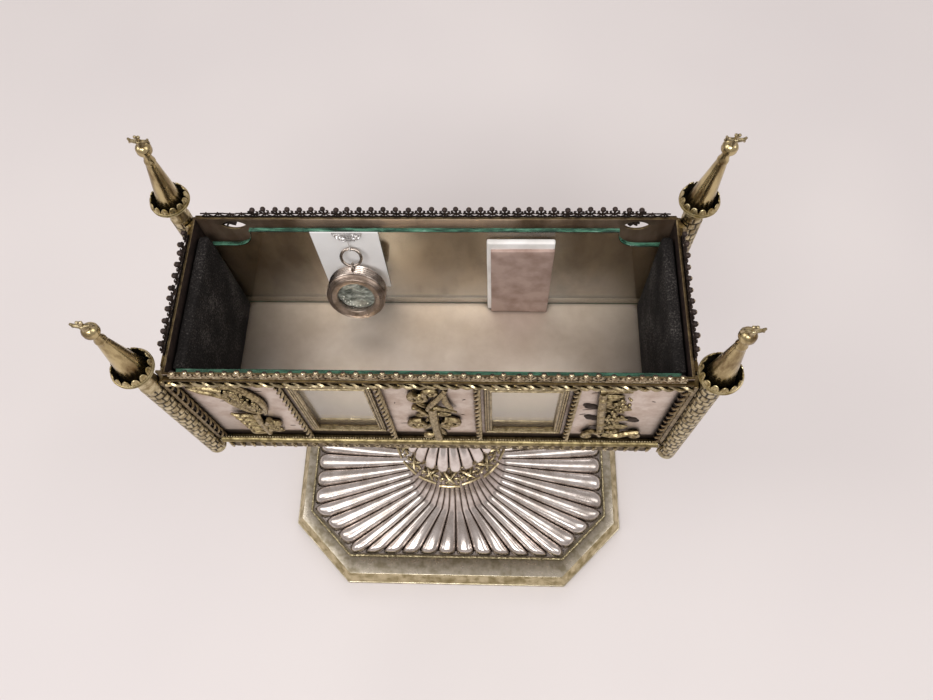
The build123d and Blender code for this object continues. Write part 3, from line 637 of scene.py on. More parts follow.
def row_tree():
    """Copies of one small casting at even stations along a level path, each turned to follow it."""
    tree, given = new_shape_tree("set_in_a_row", (
        ("Unit", "Object"), ("Count", "Int"), ("Unevenness", "Float"), ("Sway", "Float"),
        ("Seed", "Int")))
    stations = add_node(tree, "GeometryNodeCurveToPoints", {"mode": "COUNT"},
                        {"Curve": given["Geometry"], "Count": given["Count"]})
    heading = add_node(tree, "ShaderNodeSeparateXYZ", inputs={0: stations.outputs["Tangent"]})
    turn = add_node(tree, "ShaderNodeMath", {"operation": "ARCTAN2"},
                    {0: heading.outputs["Y"], 1: heading.outputs["X"]})
    lean = add_node(tree, "FunctionNodeRandomValue", {"data_type": "FLOAT"}, {
        2: add_node(tree, "ShaderNodeMath", {"operation": "MULTIPLY"}, {0: given["Sway"], 1: -1.0}),
        3: given["Sway"], "Seed": given["Seed"]})
    pose = add_node(tree, "ShaderNodeCombineXYZ", inputs={
        "X": lean.outputs[1], "Y": lean.outputs[1], "Z": turn})
    least = add_node(tree, "ShaderNodeMath", {"operation": "SUBTRACT"},
                     {0: 1.0, 1: given["Unevenness"]})
    size = add_node(tree, "FunctionNodeRandomValue", {"data_type": "FLOAT"},
                    {2: least, 3: 1.0, "Seed": given["Seed"]})
    unit = add_node(tree, "GeometryNodeObjectInfo", inputs={"Object": given["Unit"]})
    copies = add_node(tree, "GeometryNodeInstanceOnPoints", inputs={
        "Points": stations.outputs["Points"], "Instance": unit.outputs["Geometry"],
        "Rotation": pose, "Scale": size.outputs[1]})
    return end_tree(tree, copies)


set_in_a_row = row_tree()


def row(name, unit, path, count, material, unevenness=0.0, sway=0.0, seed=1):
    """A row of one unit along a path object; the unit object stays, so that other rows can use it."""
    return grown(name, path, set_in_a_row, {
        "Unit": unit, "Count": count, "Unevenness": unevenness, "Sway": sway, "Seed": seed,
        "Material": material})


def spiral(centre, radius, start, turns, depth=0.0, steps=7):
    """Points of a scroll that winds inwards in the X-Z plane; angles in turns from +X."""
    return [(centre[0] + radius * (1 - 0.75 * k / steps) * cos(2 * pi * (start + turns * k / steps)),
             centre[1] + depth * k / steps,
             centre[2] + radius * (1 - 0.75 * k / steps) * sin(2 * pi * (start + turns * k / steps)))
            for k in range(steps + 1)]


collar_low, collar_high = in_mm("foliage_collar")
collar_inset = 10.0
collar_steps = 72
collar_leaves = 16
leaf_unit = cast("leaf_unit", [
    ([(-7, 6, 1.2), (-4, 1, 3.2), (0, -4, 2.6), (4.5, -8, 1.2)], (1.0, 2.3, 2.0, 0.8)),
    ([(7, 6, 1.2), (4, 1, 3.4), (1.5, -2, 3.2), (-3, -8, 1.4)], (0.9, 2.0, 1.7, 0.8)),
    ([(-8.6, -9.2, 1.2), (-3, -9.9, 1.8), (3, -9.6, 1.8), (8.6, -9.2, 1.2)], (1.2, 1.4, 1.2)),
    ([(-8.6, 5.2, 1.6), (-3, 5.8, 2.2), (3, 5.6, 2.2), (8.6, 5.2, 1.6)], (0.9, 1.2, 0.9)),
    (spiral((5.6, -3.4, 2.0), 3.4, 0.1, 1.1), (1.3, 0.9)),
    (spiral((-5.6, -3.8, 2.0), 3.2, 0.6, -1.1), (1.3, 0.9)),
    ([(0.5, 7, 0.8), (1, 1, 1.4), (-1, -8, 1.0)], (1.5, 1.4, 1.1)),
    ([(-8, 1.5, 1.4), (-5, -1.5, 2.6), (-7.5, -6, 1.4)], (0.8, 1.6, 0.8)),
], [((0, -2.4, 4.2), 1.7), ((7.4, -6.0, 2.2), 1.5), ((-2.6, -6.8, 2.4), 1.3)])


def circle_path(name, centre, radius, level, steps):
    """A level circle about a centre, for things that follow it."""
    spots = [ring_of(radius)(k / steps) for k in range(steps)]
    return path_object(name, [(centre[0] + x, centre[1] + y, level) for x, y in spots], closed=True)


collar_ring = circle_path("collar_path", (0, 0), collar_high.x - collar_inset, collar_low.z + 0.6,
                          collar_steps)
collar = row("pierced_collar", leaf_unit, collar_ring, collar_leaves, old_gilt, 0.1, 0.12, 4)
bpy.data.objects.remove(leaf_unit)
settle(collar, [], ["foliage_collar"])


# Innermost radius of a turned profile, where a tiny flat cap closes it
near_axis = 0.05


def turned(name, profile, segments=64, foot=(0, 0, 0), axis=(0, 0, 1)):
    """A solid turned about an axis through foot. The profile is (radius, distance along the axis)."""
    spin = Vector(axis).normalized().to_track_quat("Z", "Y").to_matrix()
    points = []
    for radius, height in profile:
        for k in range(segments):
            a = 2 * pi * k / segments
            points.append(Vector(foot) + spin @ Vector((radius * cos(a), radius * sin(a), height)))
    rings = len(profile)
    faces = band_faces(rings, segments)
    if profile[0] != profile[-1]:
        faces += [tuple(reversed(range(segments))),
                  tuple(range((rings - 1) * segments, rings * segments))]
    obj = stand_object(placed_mesh(name, points, faces))
    shape = bmesh.new()
    shape.from_mesh(obj.data)
    bmesh.ops.remove_doubles(shape, verts=shape.verts, dist=0.001 * MM)
    bmesh.ops.recalc_face_normals(shape, faces=shape.faces)
    set_shape(shape, obj.data)
    return obj


knop_base = in_mm("knop")[0].z
knop_lobes = 22
knop_fullness = 0.46
knop_knots = [(24, 0.4), (32, 2.0), (39.4, 9.5), (38.2, 17), (32, 28), (24, 38), (18, 46), (15.5, 53.5)]
tip_share = 9
knop_rows = [(*row_of[:3], cos(0.5 * pi * min(k / tip_share, 1))) for k, row_of
             in enumerate(neck_rows(knop_knots, knop_base, knop_fullness, knop_lobes))]
# The knop's own silver is lighter and a little smoother than the foot's; the extra lightness is painted
# light, making up for the casket's shadow over the knop
knop_silver = aged_metal("mirror_silver", "#ece4de", "#cdc2ba", "#43372d", 0.13, 12, 1.4)
lobed_sheet("lobed_knop", "knop", knop_lobes, knop_rows, knop_silver, 14)

trumpet_base = in_mm("upper_neck")[0].z
flute_fullness = 0.4
trumpet_knots = [(15, 0), (14.6, 4), (12.6, 12), (12.6, 28), (14, 44), (19, 60), (26, 70), (30, 76.8)]
trumpet_rows = neck_rows(trumpet_knots, trumpet_base, flute_fullness, knop_lobes)
lobed_sheet("fluted_trumpet", "upper_neck", knop_lobes, trumpet_rows, lobed_silver, 8)

# ---------------------------------------------------------------- casket body
# Four upright silver sheets stand on a base plate that rests on a support plate on the stem. Their
# outside is dull hand-planished silver; the inside was never cleaned and is brown with sulphide.

# Planished sheet: soft pinkish grey, matt from whiting, darker where the castings shade it
sheet_silver = aged_metal("planished_silver", "#dccfc4", "#c4b1a2", "#3d2f29", 0.4, 11, 9, 0.25,
                          foot=299.5)
# Uncleaned sheet: brown-grey with olive and umber clouds drawn out downwards
# Painted shade darkens it towards both ends and along its bottom edge, where the felt pads and the floor
# shade the inside
brown_silver = aged_metal("sulphided_silver", "#cfb59d", "#7d6650", "#3a2b20", 0.33, 32, 5, 0.35,
                          streak=0.4, bare=0.45, foot=303.0, ends=128.0)
# Inside of the ends and of the crestings: the tarnish there is thick and nearly black
black_silver = aged_metal("blackened_silver", "#433631", "#2a211e", "#120e0c", 0.45, 7, 4, bare=0.6)
# Handled rim of the sheets: dark brown with rubbed gold
rim_metal = aged_metal("rubbed_rim", "#8c7a58", "#5c4c3a", "#241a12", 0.38, 5, 3)

dress("support_plate", worn_border)
dress("base_plate", rim_metal)


def side_of_sheet(out):
    """Chooses slot 0 for faces that look out, 1 for those that look in and 2 for the rim."""
    return lambda normal: 0 if normal.dot(out) > 0.7 else (1 if normal.dot(out) < -0.7 else 2)


for sheet_name, out in (("front_wall", (0, -1, 0)), ("back_wall", (0, 1, 0)),
                        ("left_wall", (-1, 0, 0)), ("right_wall", (1, 0, 0))):
    sheet = face_by(eased_copy(sheet_name + "_sheet", sheet_name, 0.3, 2), side_of_sheet(Vector(out)))
    inside = black_silver if out[0] else brown_silver
    settle(sheet, [sheet_silver, inside, rim_metal], [sheet_name])

# ---------------------------------------------------------------- base mouldings
# A half-round gilt moulding is soldered round the foot of the sheets, with a beaded wire in the angle
# above it and a band of pierced scallops hanging under it.

torus_metal = aged_metal("gilt_moulding", "#a3946c", "#695b3e", "#20170d", 0.36, 4, 2.4)
settle(eased_copy("base_moulding", "base_torus", 0.15, 1), [torus_metal], ["base_torus"])

bead_low, bead_high = in_mm("base_bead_wire")
grain_radius = (bead_high.z - bead_low.z) / 2
grain_pitch = 1.7


def rectangle_path(name, half_x, half_y, level):
    """A closed level rectangle, from the middle of the front and counterclockwise."""
    corners = [(0, -half_y), (half_x, -half_y), (half_x, half_y), (-half_x, half_y), (-half_x, -half_y)]
    return path_object(name, [(x, y, level) for x, y in corners], closed=True)


grain_unit = cast("grain_unit", [])
grain_shape = bmesh.new()
bmesh.ops.create_uvsphere(grain_shape, u_segments=8, v_segments=5, radius=grain_radius * MM)
set_shape(grain_shape, grain_unit.data)
bead_half_x = bead_high.x - grain_radius
bead_half_y = bead_high.y - grain_radius
grain_count = round(4 * (bead_half_x + bead_half_y) / grain_pitch)
beaded_wire = row("beaded_wire", grain_unit, rectangle_path(
    "bead_path", bead_half_x, bead_half_y, bead_low.z + grain_radius), grain_count, old_gilt)
bpy.data.objects.remove(grain_unit)
settle(beaded_wire, [], ["base_bead_wire"])

scallop_high = in_mm("base_scallops")[1]
scallop_pitch = 6.8
scallop_inset = 0.75
scallop_unit = cast("scallop_unit", [
    ([(-3.3, 0, -0.6), (-3.1, 0, -5.4), (0, 0, -7.7), (3.1, 0, -5.4), (3.3, 0, -0.6)], (0.6, 0.9, 0.8)),
    ([(-3.3, 0, -0.5), (0, -0.2, -1.0), (3.3, 0, -0.5)], (0.8, 0.8)),
    ([(-2.4, 0, -1.0), (0.4, -0.4, -3.4), (1.8, -0.2, -6.0)], (0.8, 1.2, 0.7)),
], [((-1.4, -0.2, -4.8), 0.9)], sides=1)
scallop_half_x = scallop_high.x - scallop_inset
scallop_half_y = scallop_high.y - scallop_inset
scallops = row("pierced_scallops", scallop_unit, rectangle_path(
    "scallop_path", scallop_half_x, scallop_half_y, scallop_high.z),
    round(4 * (scallop_half_x + scallop_half_y) / scallop_pitch), old_gilt, 0.06, 0.05, 3)
bpy.data.objects.remove(scallop_unit)
settle(scallops, [], [])
scallop_back = aged_metal("scallop_ground", "#6b5a3a", "#463722", "#17100a", 0.45, 4, 2)
dress("base_scallops", scallop_back)

# ---------------------------------------------------------------- cornice
# Under the top edge runs a rope of two gilt wires, then a flat fillet. The rope is cut away at the
# back where the tongues of the roof come through.

rope_low, rope_high = in_mm("cornice_rope")
rope_radius = (rope_high.z - rope_low.z) / 2
rope_level = (rope_low.z + rope_high.z) / 2
rope_x = rope_high.x - rope_radius
rope_y = rope_high.y - rope_radius
front_end = in_mm("front_wall")[1].x
side_end = 44.5
cornice_twist = (1.1, 1.05, 12.5)
slot_gap = (108.0, 129.0)
cornice_runs = [
    [(-front_end, -rope_y), (front_end, -rope_y)], [(rope_x, -side_end), (rope_x, side_end)],
    [(-rope_x, -side_end), (-rope_x, side_end)], [(front_end, rope_y), (slot_gap[1], rope_y)],
    [(slot_gap[0], rope_y), (-slot_gap[0], rope_y)], [(-slot_gap[1], rope_y), (-front_end, rope_y)]]
cornice = joined("cornice_rope_wires", [
    rope("cornice_run", path_object("cornice_path", [(x, y, rope_level) for x, y in run]),
         *cornice_twist, old_gilt) for run in cornice_runs])
settle(cornice, [], ["cornice_rope"])
settle(eased_copy("cornice_strip", "cornice_fillet", 0.5, 2), [scallop_back], ["cornice_fillet"])

# ---------------------------------------------------------------- upright ropes
# Ropes of two twisted wires divide the bays. Those at the corners are coarser and open, and ambient
# occlusion paints their hollows nearly black, tarnish and painted shade together. A dark rod along the
# middle of every rope paints the shade in the gaps between its strands.

corner_gilt = aged_metal("corner_gilt", "#9b8a68", "#5c4c38", "#120c07", 0.28, 3, 3.4)
# Painted shade: a dark rod that shows between the strands of each rope
gap_shade_rod = aged_metal("black_hollow", "#2b2320", "#1d1714", "#0b0807", 0.6, 3, 3)
divider_pitch = 27.2
corner_twist = (0.72, 1.45, 15)
bay_twist = (0.85, 1.3, 13)
gap_shade_twist = (0.95, 0.0, 10)
for side, y_side in (("front", -1), ("back", 1)):
    low, high = in_mm(side + "_ropes")
    upright_y = y_side * (max(abs(low.y), abs(high.y)) - rope_radius)
    outer_x = high.x - rope_radius
    uprights = []
    for x in (-outer_x, -3 * divider_pitch, -divider_pitch, divider_pitch, 3 * divider_pitch, outer_x):
        ends = [(x, upright_y, low.z), (x, upright_y, high.z)]
        twist, metal = (corner_twist, corner_gilt) if abs(x) == outer_x else (bay_twist, old_gilt)
        uprights.append(rope("upright", path_object("upright", ends), *twist, metal))
        uprights.append(rope("core", path_object("core", ends), *gap_shade_twist, gap_shade_rod,
                             strands=1, step=8))
    settle(joined(side + "_rope_wires", uprights), [], [side + "_ropes"])

# ---------------------------------------------------------------- window frames
# Cast gilt frames with three ridges are pinned round the two windows of the front sheet.


def moulded_frame(name, node, ridges):
    """A mitred rectangular frame; ridges is its section as (inset from the edge, height)."""
    low, high = in_mm(node)
    points = []
    for inset, lift in ridges:
        points += [(x, high.y - lift, z) for x, z in (
            (low.x + inset, low.z + inset), (high.x - inset, low.z + inset),
            (high.x - inset, high.z - inset), (low.x + inset, high.z - inset))]
    obj = stand_object(placed_mesh(name, points, band_faces(len(ridges), 4, closed=True)))
    shape = bmesh.new()
    shape.from_mesh(obj.data)
    long = [e for e in shape.edges if e.calc_length() > 20 * MM]
    bmesh.ops.subdivide_edges(shape, edges=long, cuts=12)
    bmesh.ops.recalc_face_normals(shape, faces=shape.faces)
    set_shape(shape, obj.data)
    return obj


ridges = ((0, 0), (0, 1.0), (0.25, 1.5), (0.75, 1.8), (1.25, 1.5), (1.5, 0.9), (1.8, 1.3), (2.2, 1.5),
          (2.6, 1.3), (2.9, 0.8), (3.2, 0.8), (3.5, 1.5), (4.0, 1.7), (4.4, 1.4), (4.5, 0.9), (4.5, 0))
for side in ("left", "right"):
    settle(moulded_frame(side + "_window_moulding", side + "_window_frame", ridges),
           [old_gilt], [side + "_window_frame"])

# ---------------------------------------------------------------- castings on the front
# Three cast gilt ornaments are pinned to the blind bays: a horn of fruit on the left, crossed scrolls
# in the middle and a leafy staff on two scroll feet on the right.


# Cast ornaments: the same gilt brass, unpolished, black in every hollow, where ambient occlusion paints
# tarnish and the shade around the castings together
casting_gilt = aged_metal("casting_gilt", "#b8a77f", "#67573c", "#110b07", 0.3, 2, 4.2, pits=0.6)


stroke_swell = 1.2
relief_lift = 1.1


def relief(name, node, bay_x, strokes, balls):
    """Cast an ornament for the bay at bay_x; its points are (from the bay's middle, forwards,
    level)."""
    obj = cast(name, [(points, [stroke_swell * r for r in radii]) for points, radii in strokes], balls)
    obj.data.transform(Matrix.Translation(Vector((bay_x, panel_face - relief_lift, 0)) * MM))
    return settle(obj, [casting_gilt], [node])


def leaf(root, tip, bow, width):
    """A leaf as three strokes from root to tip, bowed sideways, with a raised rib."""
    start, end = Vector((root[0], 0, root[1])), Vector((tip[0], 0, tip[1]))
    across = Vector((start.z - end.z, 0, end.x - start.x)).normalized()
    mid = (start + end) / 2 + across * bow
    rim = [([start, mid + across * side * width, end], (0.6, 0.95, 0.4)) for side in (-1, 1)]
    return rim + [([start, mid + Vector((0, -1.3, 0)), end], (0.8, max(width * 0.7, 0.8), 0.4))]


def grains(count, middle, half_wide, half_tall, slant, size, rng):
    """Small balls strewn over a leaning oval: fruit, seeds or berries."""
    spots = []
    while len(spots) < count:
        u, v = rng.uniform(-1, 1), rng.uniform(-1, 1)
        if u * u + v * v < 0.92:
            spots.append(((middle[0] + half_wide * u - slant * v * half_tall,
                           -1.4 - 1.5 * (1 - u * u - v * v), middle[1] + half_tall * v),
                          rng.uniform(0.7, 1.2) * size))
    return spots


random = Random(7)
panel_face = in_mm("front_wall")[0].y
bay_step = 4 * divider_pitch
oval = (1.6, 359)
oval_wide = 8.6
oval_tall = 20.5
slant = 0.22
rim_steps = 14
rim_turns = [2 * pi * k / rim_steps for k in range(rim_steps + 1)]
rim = [(oval[0] + oval_wide * cos(a) - slant * oval_tall * sin(a), -0.7, oval[1] + oval_tall * sin(a))
       for a in rim_turns]
horn = [
    ([(-25, 0, 375), (-19, -0.6, 377.5), (-12, -1.0, 377), (-5, -1.0, 375)], (0.6, 1.3, 1.5, 1.9)),
    ([(-25, 0, 375), (-19, -0.8, 371.5), (-12, -1.0, 369), (-6, -1.0, 364)], (0.6, 1.2, 1.3, 1.6)),
    (rim, (1.3, 1.3)),
    ([(oval[0] - 3.4, 0, oval[1] + 14), (oval[0], 0, oval[1]), (oval[0] + 3.4, 0, oval[1] - 14)],
     (2.2, 4.4, 2.2)),
    ([(3, -0.4, 381), (11, -0.6, 365), (12.5, -0.8, 348), (9, -0.6, 336)], (0.9, 1.5, 1.7, 1.0)),
    (spiral((10, -1.2, 320), 5.4, 0.3, 1.4, steps=9), (1.8, 1.2)),
    (spiral((8, -1.0, 309), 4.2, 0.6, -1.2), (1.5, 1.0)),
    ([(3, -0.6, 338), (2, -1.2, 320), (2, -1.0, 300)], (1.8, 2.4, 1.4)),
]
for k in range(5):
    level = 333 - 7.2 * k
    horn.append(([(3, -0.6, level - 2), (-3, -2.2, level + 2.5), (-8, -1.0, level - 1.5),
                  (-12.5 + k, -0.6, level + 2)], (1.3, 1.7, 1.4, 0.7)))
for _ in range(12):
    start = (random.uniform(0, 6), random.uniform(306, 330))
    end = (start[0] + random.uniform(-11, 9), start[1] + random.uniform(-9, 6))
    horn += leaf(start, end, random.uniform(-2, 2), 1.6)
relief("horn_of_fruit", "left_ornament", -bay_step, horn,
       grains(95, oval, 7.6, 18.5, slant, 1.2, random) + grains(26, (9, 317), 5.0, 9.0, 0, 1.2, random))

scrolls = [
    (spiral((-5, -1.0, 367), 6.4, 0.3, 1.4, steps=10), (1.9, 1.4, 1.1)),
    (spiral((2, -1.2, 374), 4.8, 0.6, -1.3, steps=9), (1.6, 1.2, 0.9)),
    ([(10.5, -1.4, 380), (7, -2.4, 371), (1, -2.8, 360), (-1.5, -2.0, 350)], (1.2, 1.5, 1.5, 1.2)),
    ([(9, -0.6, 370), (8, -1.2, 358), (12.5, -0.8, 349)], (1.0, 2.2, 0.8)),
    ([(2, -2.4, 353), (9, -2.4, 353), (14.5, -1.0, 343)], (1.3, 1.3, 0.6)),
    ([(-9.5, -0.8, 352), (-5, -1.2, 345), (0, -1.4, 338)], (1.4, 1.5, 1.5)),
    (spiral((-9, -1.2, 322), 7.2, 0.2, 1.4, steps=10), (1.7, 1.3, 1.0)),
    (spiral((9.5, -1.2, 325), 7.6, 0.3, -1.4, steps=10), (1.7, 1.3, 1.0)),
    ([(1.5, -2.0, 354), (1, -2.6, 338), (1, -2.0, 318), (1.5, -1.2, 297)], (2.4, 2.6, 2.0, 2.6)),
    (spiral((-4.4, -1.4, 300), 3.6, 0.1, 1.2), (1.3, 0.9)),
    ([(-1, -0.8, 330), (5, -1.0, 318), (2, -0.8, 308)], (1.4, 1.6, 1.0)),
]
for root, tip, bow, width in (
        ((0, 342), (-10, 334), 2, 2.2), ((0, 342), (11, 336), -2, 2.2), ((1, 350), (-8, 357), 2, 2.0),
        ((1, 322), (-7, 308), -2, 1.8), ((2, 320), (9, 308), 2, 1.8), ((1, 312), (6, 298), 1, 1.6)):
    scrolls += leaf(root, tip, bow, width)
relief("crossed_scrolls", "middle_ornament", 0, scrolls, [
    ((1.5, -3.0, 346), 2.3), ((-9.5, -1.6, 351), 1.5), ((4.6, -3.0, 346), 1.3), ((-9, -1.6, 322), 2.2),
    ((10, -1.8, 325), 2.6), ((-5, -1.6, 367), 2.2), ((2, -1.8, 374), 1.8), ((-4.4, -1.6, 300), 1.2)]
    + grains(14, (10, 325), 3.6, 4.4, 0, 0.9, random) + grains(10, (0, 334), 5, 6, 0, 1.0, random))

staff = [
    ([(-13.4, -1.6, 378), (-12, -2.2, 360), (-10, -2.2, 338), (-7.5, -1.6, 314)], (1.7, 2.0, 2.0, 1.8)),
    ([(-15, -0.8, 379), (-8, -1.0, 380), (2, -0.8, 379)], (1.2, 1.3, 1.1)),
    ([(-16.5, -1.0, 305), (-15, -1.6, 312), (-9, -1.6, 313), (-6.5, -1.2, 304)], (1.3, 1.5, 1.3)),
    (spiral((-14.5, -1.2, 304), 3.6, 0.3, 1.25), (1.4, 1.0)),
    (spiral((14.5, -1.2, 305), 3.8, 0.2, -1.25), (1.4, 1.0)),
    ([(-6, -1.4, 308), (2, -1.8, 304), (9, -1.4, 309), (16.5, -1.0, 310)], (1.5, 1.8, 1.3)),
    ([(-4, -1.4, 316), (-1, -1.6, 309), (3, -1.4, 316)], (1.3, 1.3)),
]
for _ in range(26):
    share = random.random()
    root = (-12.6 + 5.4 * share, 374 - 58 * share)
    tip = (root[0] + random.uniform(5, 17), root[1] + random.uniform(-10, 6))
    staff += leaf(root, (min(tip[0], 6 + 4 * share), max(tip[1], 314)), random.uniform(-2.5, 2.5), 1.5)
joints = [((-12.9 + 1.3 * k, -2.6, 370 - 13 * k), 2.4) for k in range(5)]
relief("leafy_staff", "right_ornament", bay_step, staff,
       joints + grains(44, (-2.5, 346), 6.5, 27, -0.1, 1.15, random))

# Old cuts and wrinkles in the planished sheet, black with polish
cut_metal = aged_metal("blackened_cuts", "#4a3e36", "#352b25", "#120e0c", 0.6, 2, 1)
# Each cut is (x, level, length, angle in degrees)
cuts = [(-96.5, 368, 6.0, -4), (-119.5, 352, 5.5, 6), (-128, 366, 4, 20), (-100, 318, 4, -12),
        (-90, 309, 3.5, 5), (-18, 316, 6, 4), (-15, 313.5, 4.5, 3), (18, 333, 3, -25),
        (19.5, 358, 2.6, 40), (-20.5, 352, 2.5, 80), (90.5, 344, 5.5, 12), (88.5, 336, 4, 25),
        (126, 358, 2.5, -20), (92, 371, 4, 10), (97, 316, 5, 15)]
cut_strokes = []
for x, z, length, angle in cuts:
    reach = Vector((cos(radians(angle)), 0, sin(radians(angle)))) * length / 2
    here = Vector((x, panel_face, z))
    cut_strokes.append(([here - reach, here + Vector((0, 0, 0.4)), here + reach], (0.12, 0.42, 0.12)))
settle(cast("panel_cuts", cut_strokes), [cut_metal], [])
# Flattened dark ovals on the sheet beside the leafy staff, in the same black metal as the cuts
dark_ovals = cast("black_stains", [], [
    ((bay_step + x + dx, 0, z + dz), r) for x, z in ((-14.5, 331), (9.5, 328), (-17, 350))
    for dx, dz, r in ((0, 0, 3.8), (-2.2, 2.4, 2.6), (2.4, -2.2, 2.8))], flat=0.12)
dark_ovals.data.transform(Matrix.Translation((0, (panel_face - 0.2) * MM, 0)))
settle(dark_ovals, [cut_metal], [])

# ---------------------------------------------------------------- galleries
# A pierced gallery stands on the top edge: small balls on stalks between pairs of curled leaves, over
# a strip of lattice. The back one has lost a few balls at each end.

gallery_gilt = aged_metal("gallery_gilt", "#cdbfa0", "#80694c", "#1c130b", 0.22, 3, 2.4)
gallery_pitch = 7.0
gallery_low, gallery_high = in_mm("gallery_front")
ball_radius = 1.7
stalk_top = gallery_high.z - gallery_low.z - 2 * ball_radius
lattice = [
    ([(-3.6, 0, 0.6), (0, 0, 0.5), (3.6, 0, 0.6)], (0.55, 0.55)),
    ([(-3.6, 0, 3.6), (0, 0, 3.7), (3.6, 0, 3.6)], (0.5, 0.5)),
    ([(-3.4, 0.1, 0.8), (0, -0.1, 3.4)], (0.42, 0.42)),
    ([(3.4, 0.1, 0.8), (0, -0.1, 3.4)], (0.42, 0.42)),
    ([(-0.4, 0, 3.2), (-2.4, 0, 4.4), (-2.9, 0, 6.2), (-1.6, 0, 6.3)], (0.5, 0.75, 0.35)),
    ([(0.4, 0, 3.2), (2.4, 0, 4.4), (2.9, 0, 6.2), (1.6, 0, 6.3)], (0.5, 0.75, 0.35)),
]
stalk = [([(0, 0, 2.6), (0, 0, 4.6), (0, 0, stalk_top + 0.6)], (0.9, 0.55, 0.8))]
full_unit = cast("full_unit", lattice + stalk, [((0, 0, stalk_top + ball_radius), ball_radius)],
                 sides=1)
bare_unit = cast("bare_unit", lattice[:4] + [([(0, 0, 2.6), (0.2, 0, 4.6)], (0.8, 0.45))], sides=1)


def gallery(node, start, end, y_at=None, x_at=None, bare=(0, 0), seed=1):
    """One side of the gallery between two ends; bare gives how many balls are lost at each end."""
    count = int((end - start) // gallery_pitch)
    first = (start + end) / 2 - (count - 1) * gallery_pitch / 2
    spans = [(0, bare[0], bare_unit), (bare[0], count - bare[1], full_unit),
             (count - bare[1], count, bare_unit)]
    rows = []
    for low, high, unit in spans:
        if high - low > 0:
            ends = [first + low * gallery_pitch, first + (high - 1) * gallery_pitch]
            spots = [(s, y_at, gallery_low.z) if x_at is None else (x_at, s, gallery_low.z)
                     for s in ends]
            rows.append(row("gallery_run", unit, path_object("gallery_path", spots), high - low,
                            gallery_gilt, 0.07, 0.09, seed + low))
    castings = joined(node + "_castings", rows)
    out = Vector((0, y_at, 0) if x_at is None else (x_at, 0, 0)).normalized()
    castings.data.materials.append(black_silver)
    clean_side = -0.05 if node == "gallery_front" else 0.55
    face_by(castings, lambda normal: int(normal.dot(out) < clean_side))
    settle(castings, [], [node])


sheet_y = gallery_low.y / 2 + gallery_high.y / 2
side_low, side_high = in_mm("gallery_left")
sheet_x = (side_low.x + side_high.x) / 2
gallery("gallery_front", gallery_low.x, gallery_high.x, y_at=sheet_y, seed=3)
gallery("gallery_back", gallery_low.x, gallery_high.x, y_at=-sheet_y, bare=(4, 2), seed=60)
gallery("gallery_left", side_low.y, side_high.y, x_at=sheet_x, seed=120)
gallery("gallery_right", side_low.y, side_high.y, x_at=-sheet_x, seed=170)
# Leaves of the back cresting are bent down across the two slots of the back sheet
bent = []
for x, half in ((-121.6, 4.4), (117.0, 3.2)):
    bent += [([(x - half, 50.6, 384), (x, 50.9, 387), (x + half, 50.6, 385)], (0.8, 1.1, 0.7)),
             ([(x - half + 1, 50.6, 388), (x, 50.8, 384.5), (x + half - 1, 50.6, 383)],
              (0.7, 1.0, 0.6)),
             ([(x - 2, 50.6, 382.5), (x + 0.5, 50.8, 386), (x + 1.5, 50.6, 389)], (0.6, 0.9, 0.6))]
settle(cast("bent_leaves", bent), [black_silver], [])
for unit in (full_unit, bare_unit):
    bpy.data.objects.remove(unit)

# ---------------------------------------------------------------- turrets
# Four tubes of gilt brass, chased with courses of small stones, stand at the corners. Each ends below
# in a round boss, and dark gilt strips solder it to the sheets.

chased_brass = aged_metal("chased_brass", "#cdbf9b", "#8c7b58", "#1f170f", 0.26, 4, 1.6)
stone_count = 8
course = 5.5
joint_depth = 0.42
boss_steps = 6
boss_top = 8.2
groove = 0.7
shaft_steps = 170
boss_rows = 13
band_step = 0.35


